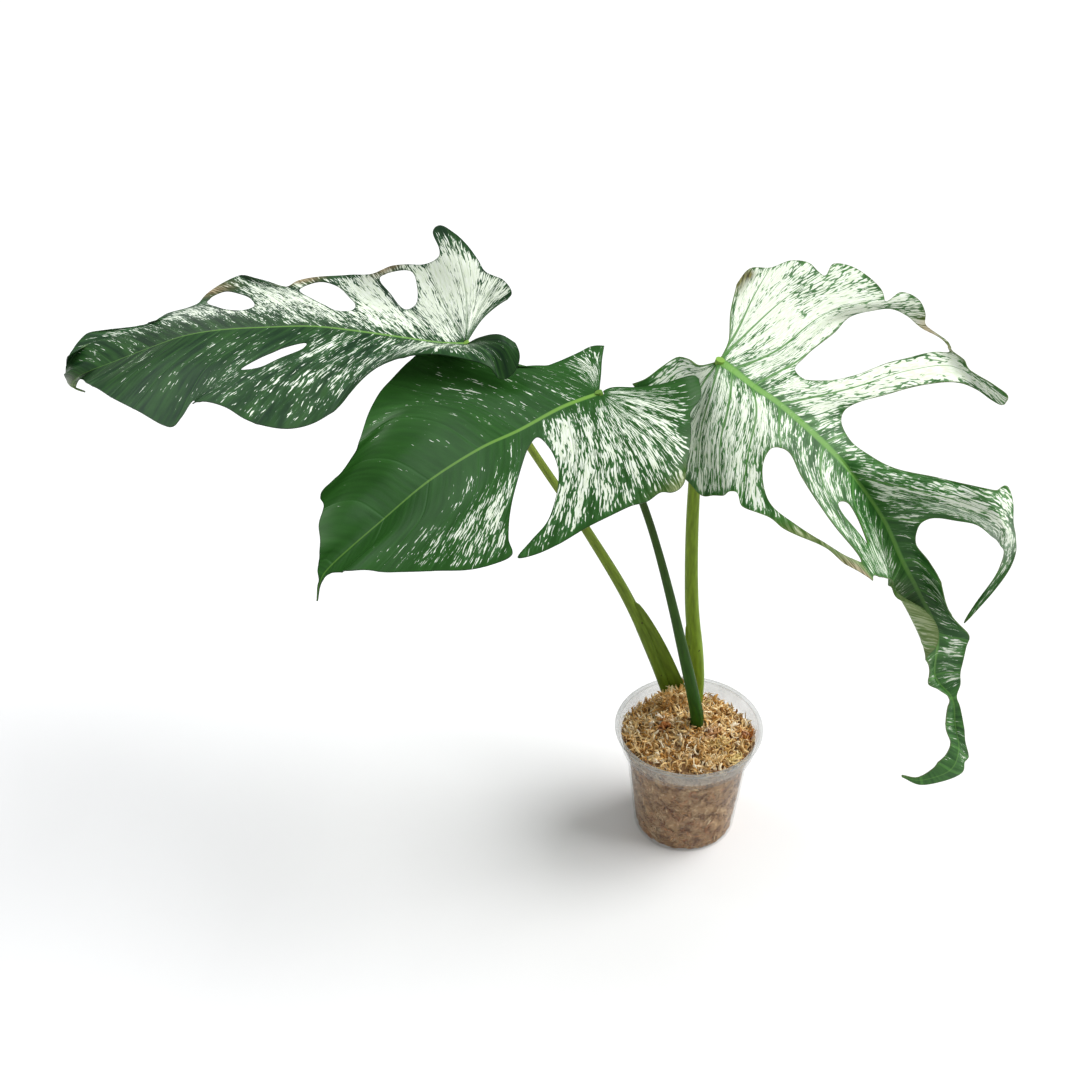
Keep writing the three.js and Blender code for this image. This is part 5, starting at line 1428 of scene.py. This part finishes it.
class MONSTERA_OT_moss(bpy.types.Operator):
    """Fills the pot with moss and strews its loose bits"""

    bl_idname = "monstera.moss"
    bl_label = "Moss"

    def execute(self, context):
        settings = context.scene.monstera_pot
        draw = random.Random(settings.seed)
        noise.seed_set(settings.seed)
        gold = [linear(h) for h in ("#94652A", "#CE9C55", "#ECCB90", "#FAE7BE", "#FFF9EA")]
        damp = [linear(h) for h in ("#4E3626", "#7B5A3E", "#A88660", "#CDAE86", "#E4CDA8")]
        packed = moss_material("packed damp moss", damp, 9, 1.6)
        finish_piece("moss_body", moss_core_mesh(), [packed], ["moss"])
        shapes = [sprig_mesh(draw) for _ in range(SPRIG_SHAPES)]
        groups = (
            ("moss_bits_on_top", top_places(draw, settings.top_sprigs, len(shapes)),
                moss_material("loose dry moss", gold, 11, 0.5)),
            ("moss_bits_at_wall", wall_places(draw, settings.wall_sprigs, len(shapes)),
                moss_material("damp moss strands", damp, 9, 1.3)),
        )
        for name, places, material in groups:
            finish_piece(name, scattered(shapes, places), [material], ["moss"])
        for shape in shapes:
            bpy.data.meshes.remove(shape)
        return {"FINISHED"}


class MONSTERA_OT_stage(bpy.types.Operator):
    """Sets up the pale floor, the soft lights and the camera"""

    bl_idname = "monstera.stage"
    bl_label = "Stage"

    def execute(self, context):
        scene = context.scene
        settings = scene.monstera_stage
        bm = bmesh.new()
        bmesh.ops.create_grid(bm, x_segments=2, y_segments=2, size=settings.floor_size / 2)
        mesh = bpy.data.meshes.new("floor")
        bm.to_mesh(mesh)
        bm.free()
        floor = bpy.data.objects.new("floor", mesh)
        scene.collection.objects.link(floor)
        material, tree = new_material("matt white paper")
        shader = add(tree, "ShaderNodeBsdfPrincipled", {"Base Color": linear("#F7F7F7"), "Roughness": 0.9})
        add(tree, "ShaderNodeOutputMaterial", {"Surface": shader})
        mesh.materials.append(material)

        world = bpy.data.worlds.new("studio")
        world.use_nodes = True
        background = world.node_tree.nodes["Background"].inputs
        background["Color"].default_value = linear("#FFFFFF")
        background["Strength"].default_value = ROOM_LIGHT
        scene.world = world
        scene.view_settings.view_transform = "Standard"
        softbox_data = bpy.data.lights.new("softbox", "SUN")
        softbox_data.energy = SOFTBOX_STRENGTH
        softbox_data.angle = math.radians(SOFTBOX_SPREAD)
        softbox = bpy.data.objects.new("softbox", softbox_data)
        softbox.rotation_euler = Vector(SOFTBOX_FROM).to_track_quat("Z", "Y").to_euler()
        scene.collection.objects.link(softbox)
        window_data = bpy.data.lights.new("window", "AREA")
        window_data.size = WINDOW_SIZE
        window_data.energy = WINDOW_POWER
        window_data.color = linear(WINDOW_TINT)[:3]
        window = bpy.data.objects.new("window", window_data)
        window.location = WINDOW_PLACE
        aim = Vector(WINDOW_AIM) - Vector(WINDOW_PLACE)
        window.rotation_euler = aim.to_track_quat("-Z", "Y").to_euler()
        scene.collection.objects.link(window)

        camera_data = bpy.data.cameras.new("camera")
        camera_data.lens = settings.focal_length
        camera_data.sensor_width = SENSOR_WIDTH
        camera_data.clip_start = CLIP_START
        camera = bpy.data.objects.new("camera", camera_data)
        camera.location = CAMERA_PLACE
        camera.rotation_euler = (settings.camera_tilt, 0, 0)
        scene.collection.objects.link(camera)
        scene.camera = camera
        return {"FINISHED"}


class MONSTERA_PT_panel(bpy.types.Panel):
    """Lists the steps in the order in which the plant is built"""

    bl_idname = "MONSTERA_PT_panel"
    bl_label = "Potted monstera"
    bl_space_type = "VIEW_3D"
    bl_region_type = "UI"
    bl_category = "Monstera"

    def draw(self, context):
        for step in STEPS:
            self.layout.operator(step.bl_idname)
        for group in SETTINGS:
            settings = getattr(context.scene, group)
            for key in settings.__annotations__:
                self.layout.prop(settings, key)


STEPS = (MONSTERA_OT_stage, MONSTERA_OT_pot, MONSTERA_OT_moss, MONSTERA_OT_stalks, MONSTERA_OT_leaves)
SETTINGS = {
    "monstera_leaves": MonsteraLeafSettings,
    "monstera_stalks": MonsteraStalkSettings,
    "monstera_pot": MonsteraPotSettings,
    "monstera_stage": MonsteraStageSettings,
}


def register():
    """Makes the settings, steps and panel known to Blender."""
    for item in (*SETTINGS.values(), *STEPS, MONSTERA_PT_panel):
        bpy.utils.register_class(item)
    for name, group in SETTINGS.items():
        setattr(bpy.types.Scene, name, bpy.props.PointerProperty(type=group))


def unregister():
    """Takes them away again."""
    for name in SETTINGS:
        delattr(bpy.types.Scene, name)
    for item in (MONSTERA_PT_panel, *reversed(STEPS), *reversed(SETTINGS.values())):
        bpy.utils.unregister_class(item)


def main():
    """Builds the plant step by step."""
    register()
    bpy.ops.monstera.stage()
    bpy.ops.monstera.pot()
    bpy.ops.monstera.moss()
    bpy.ops.monstera.stalks()
    bpy.ops.monstera.leaves()


if __name__ == "__main__":
    main()
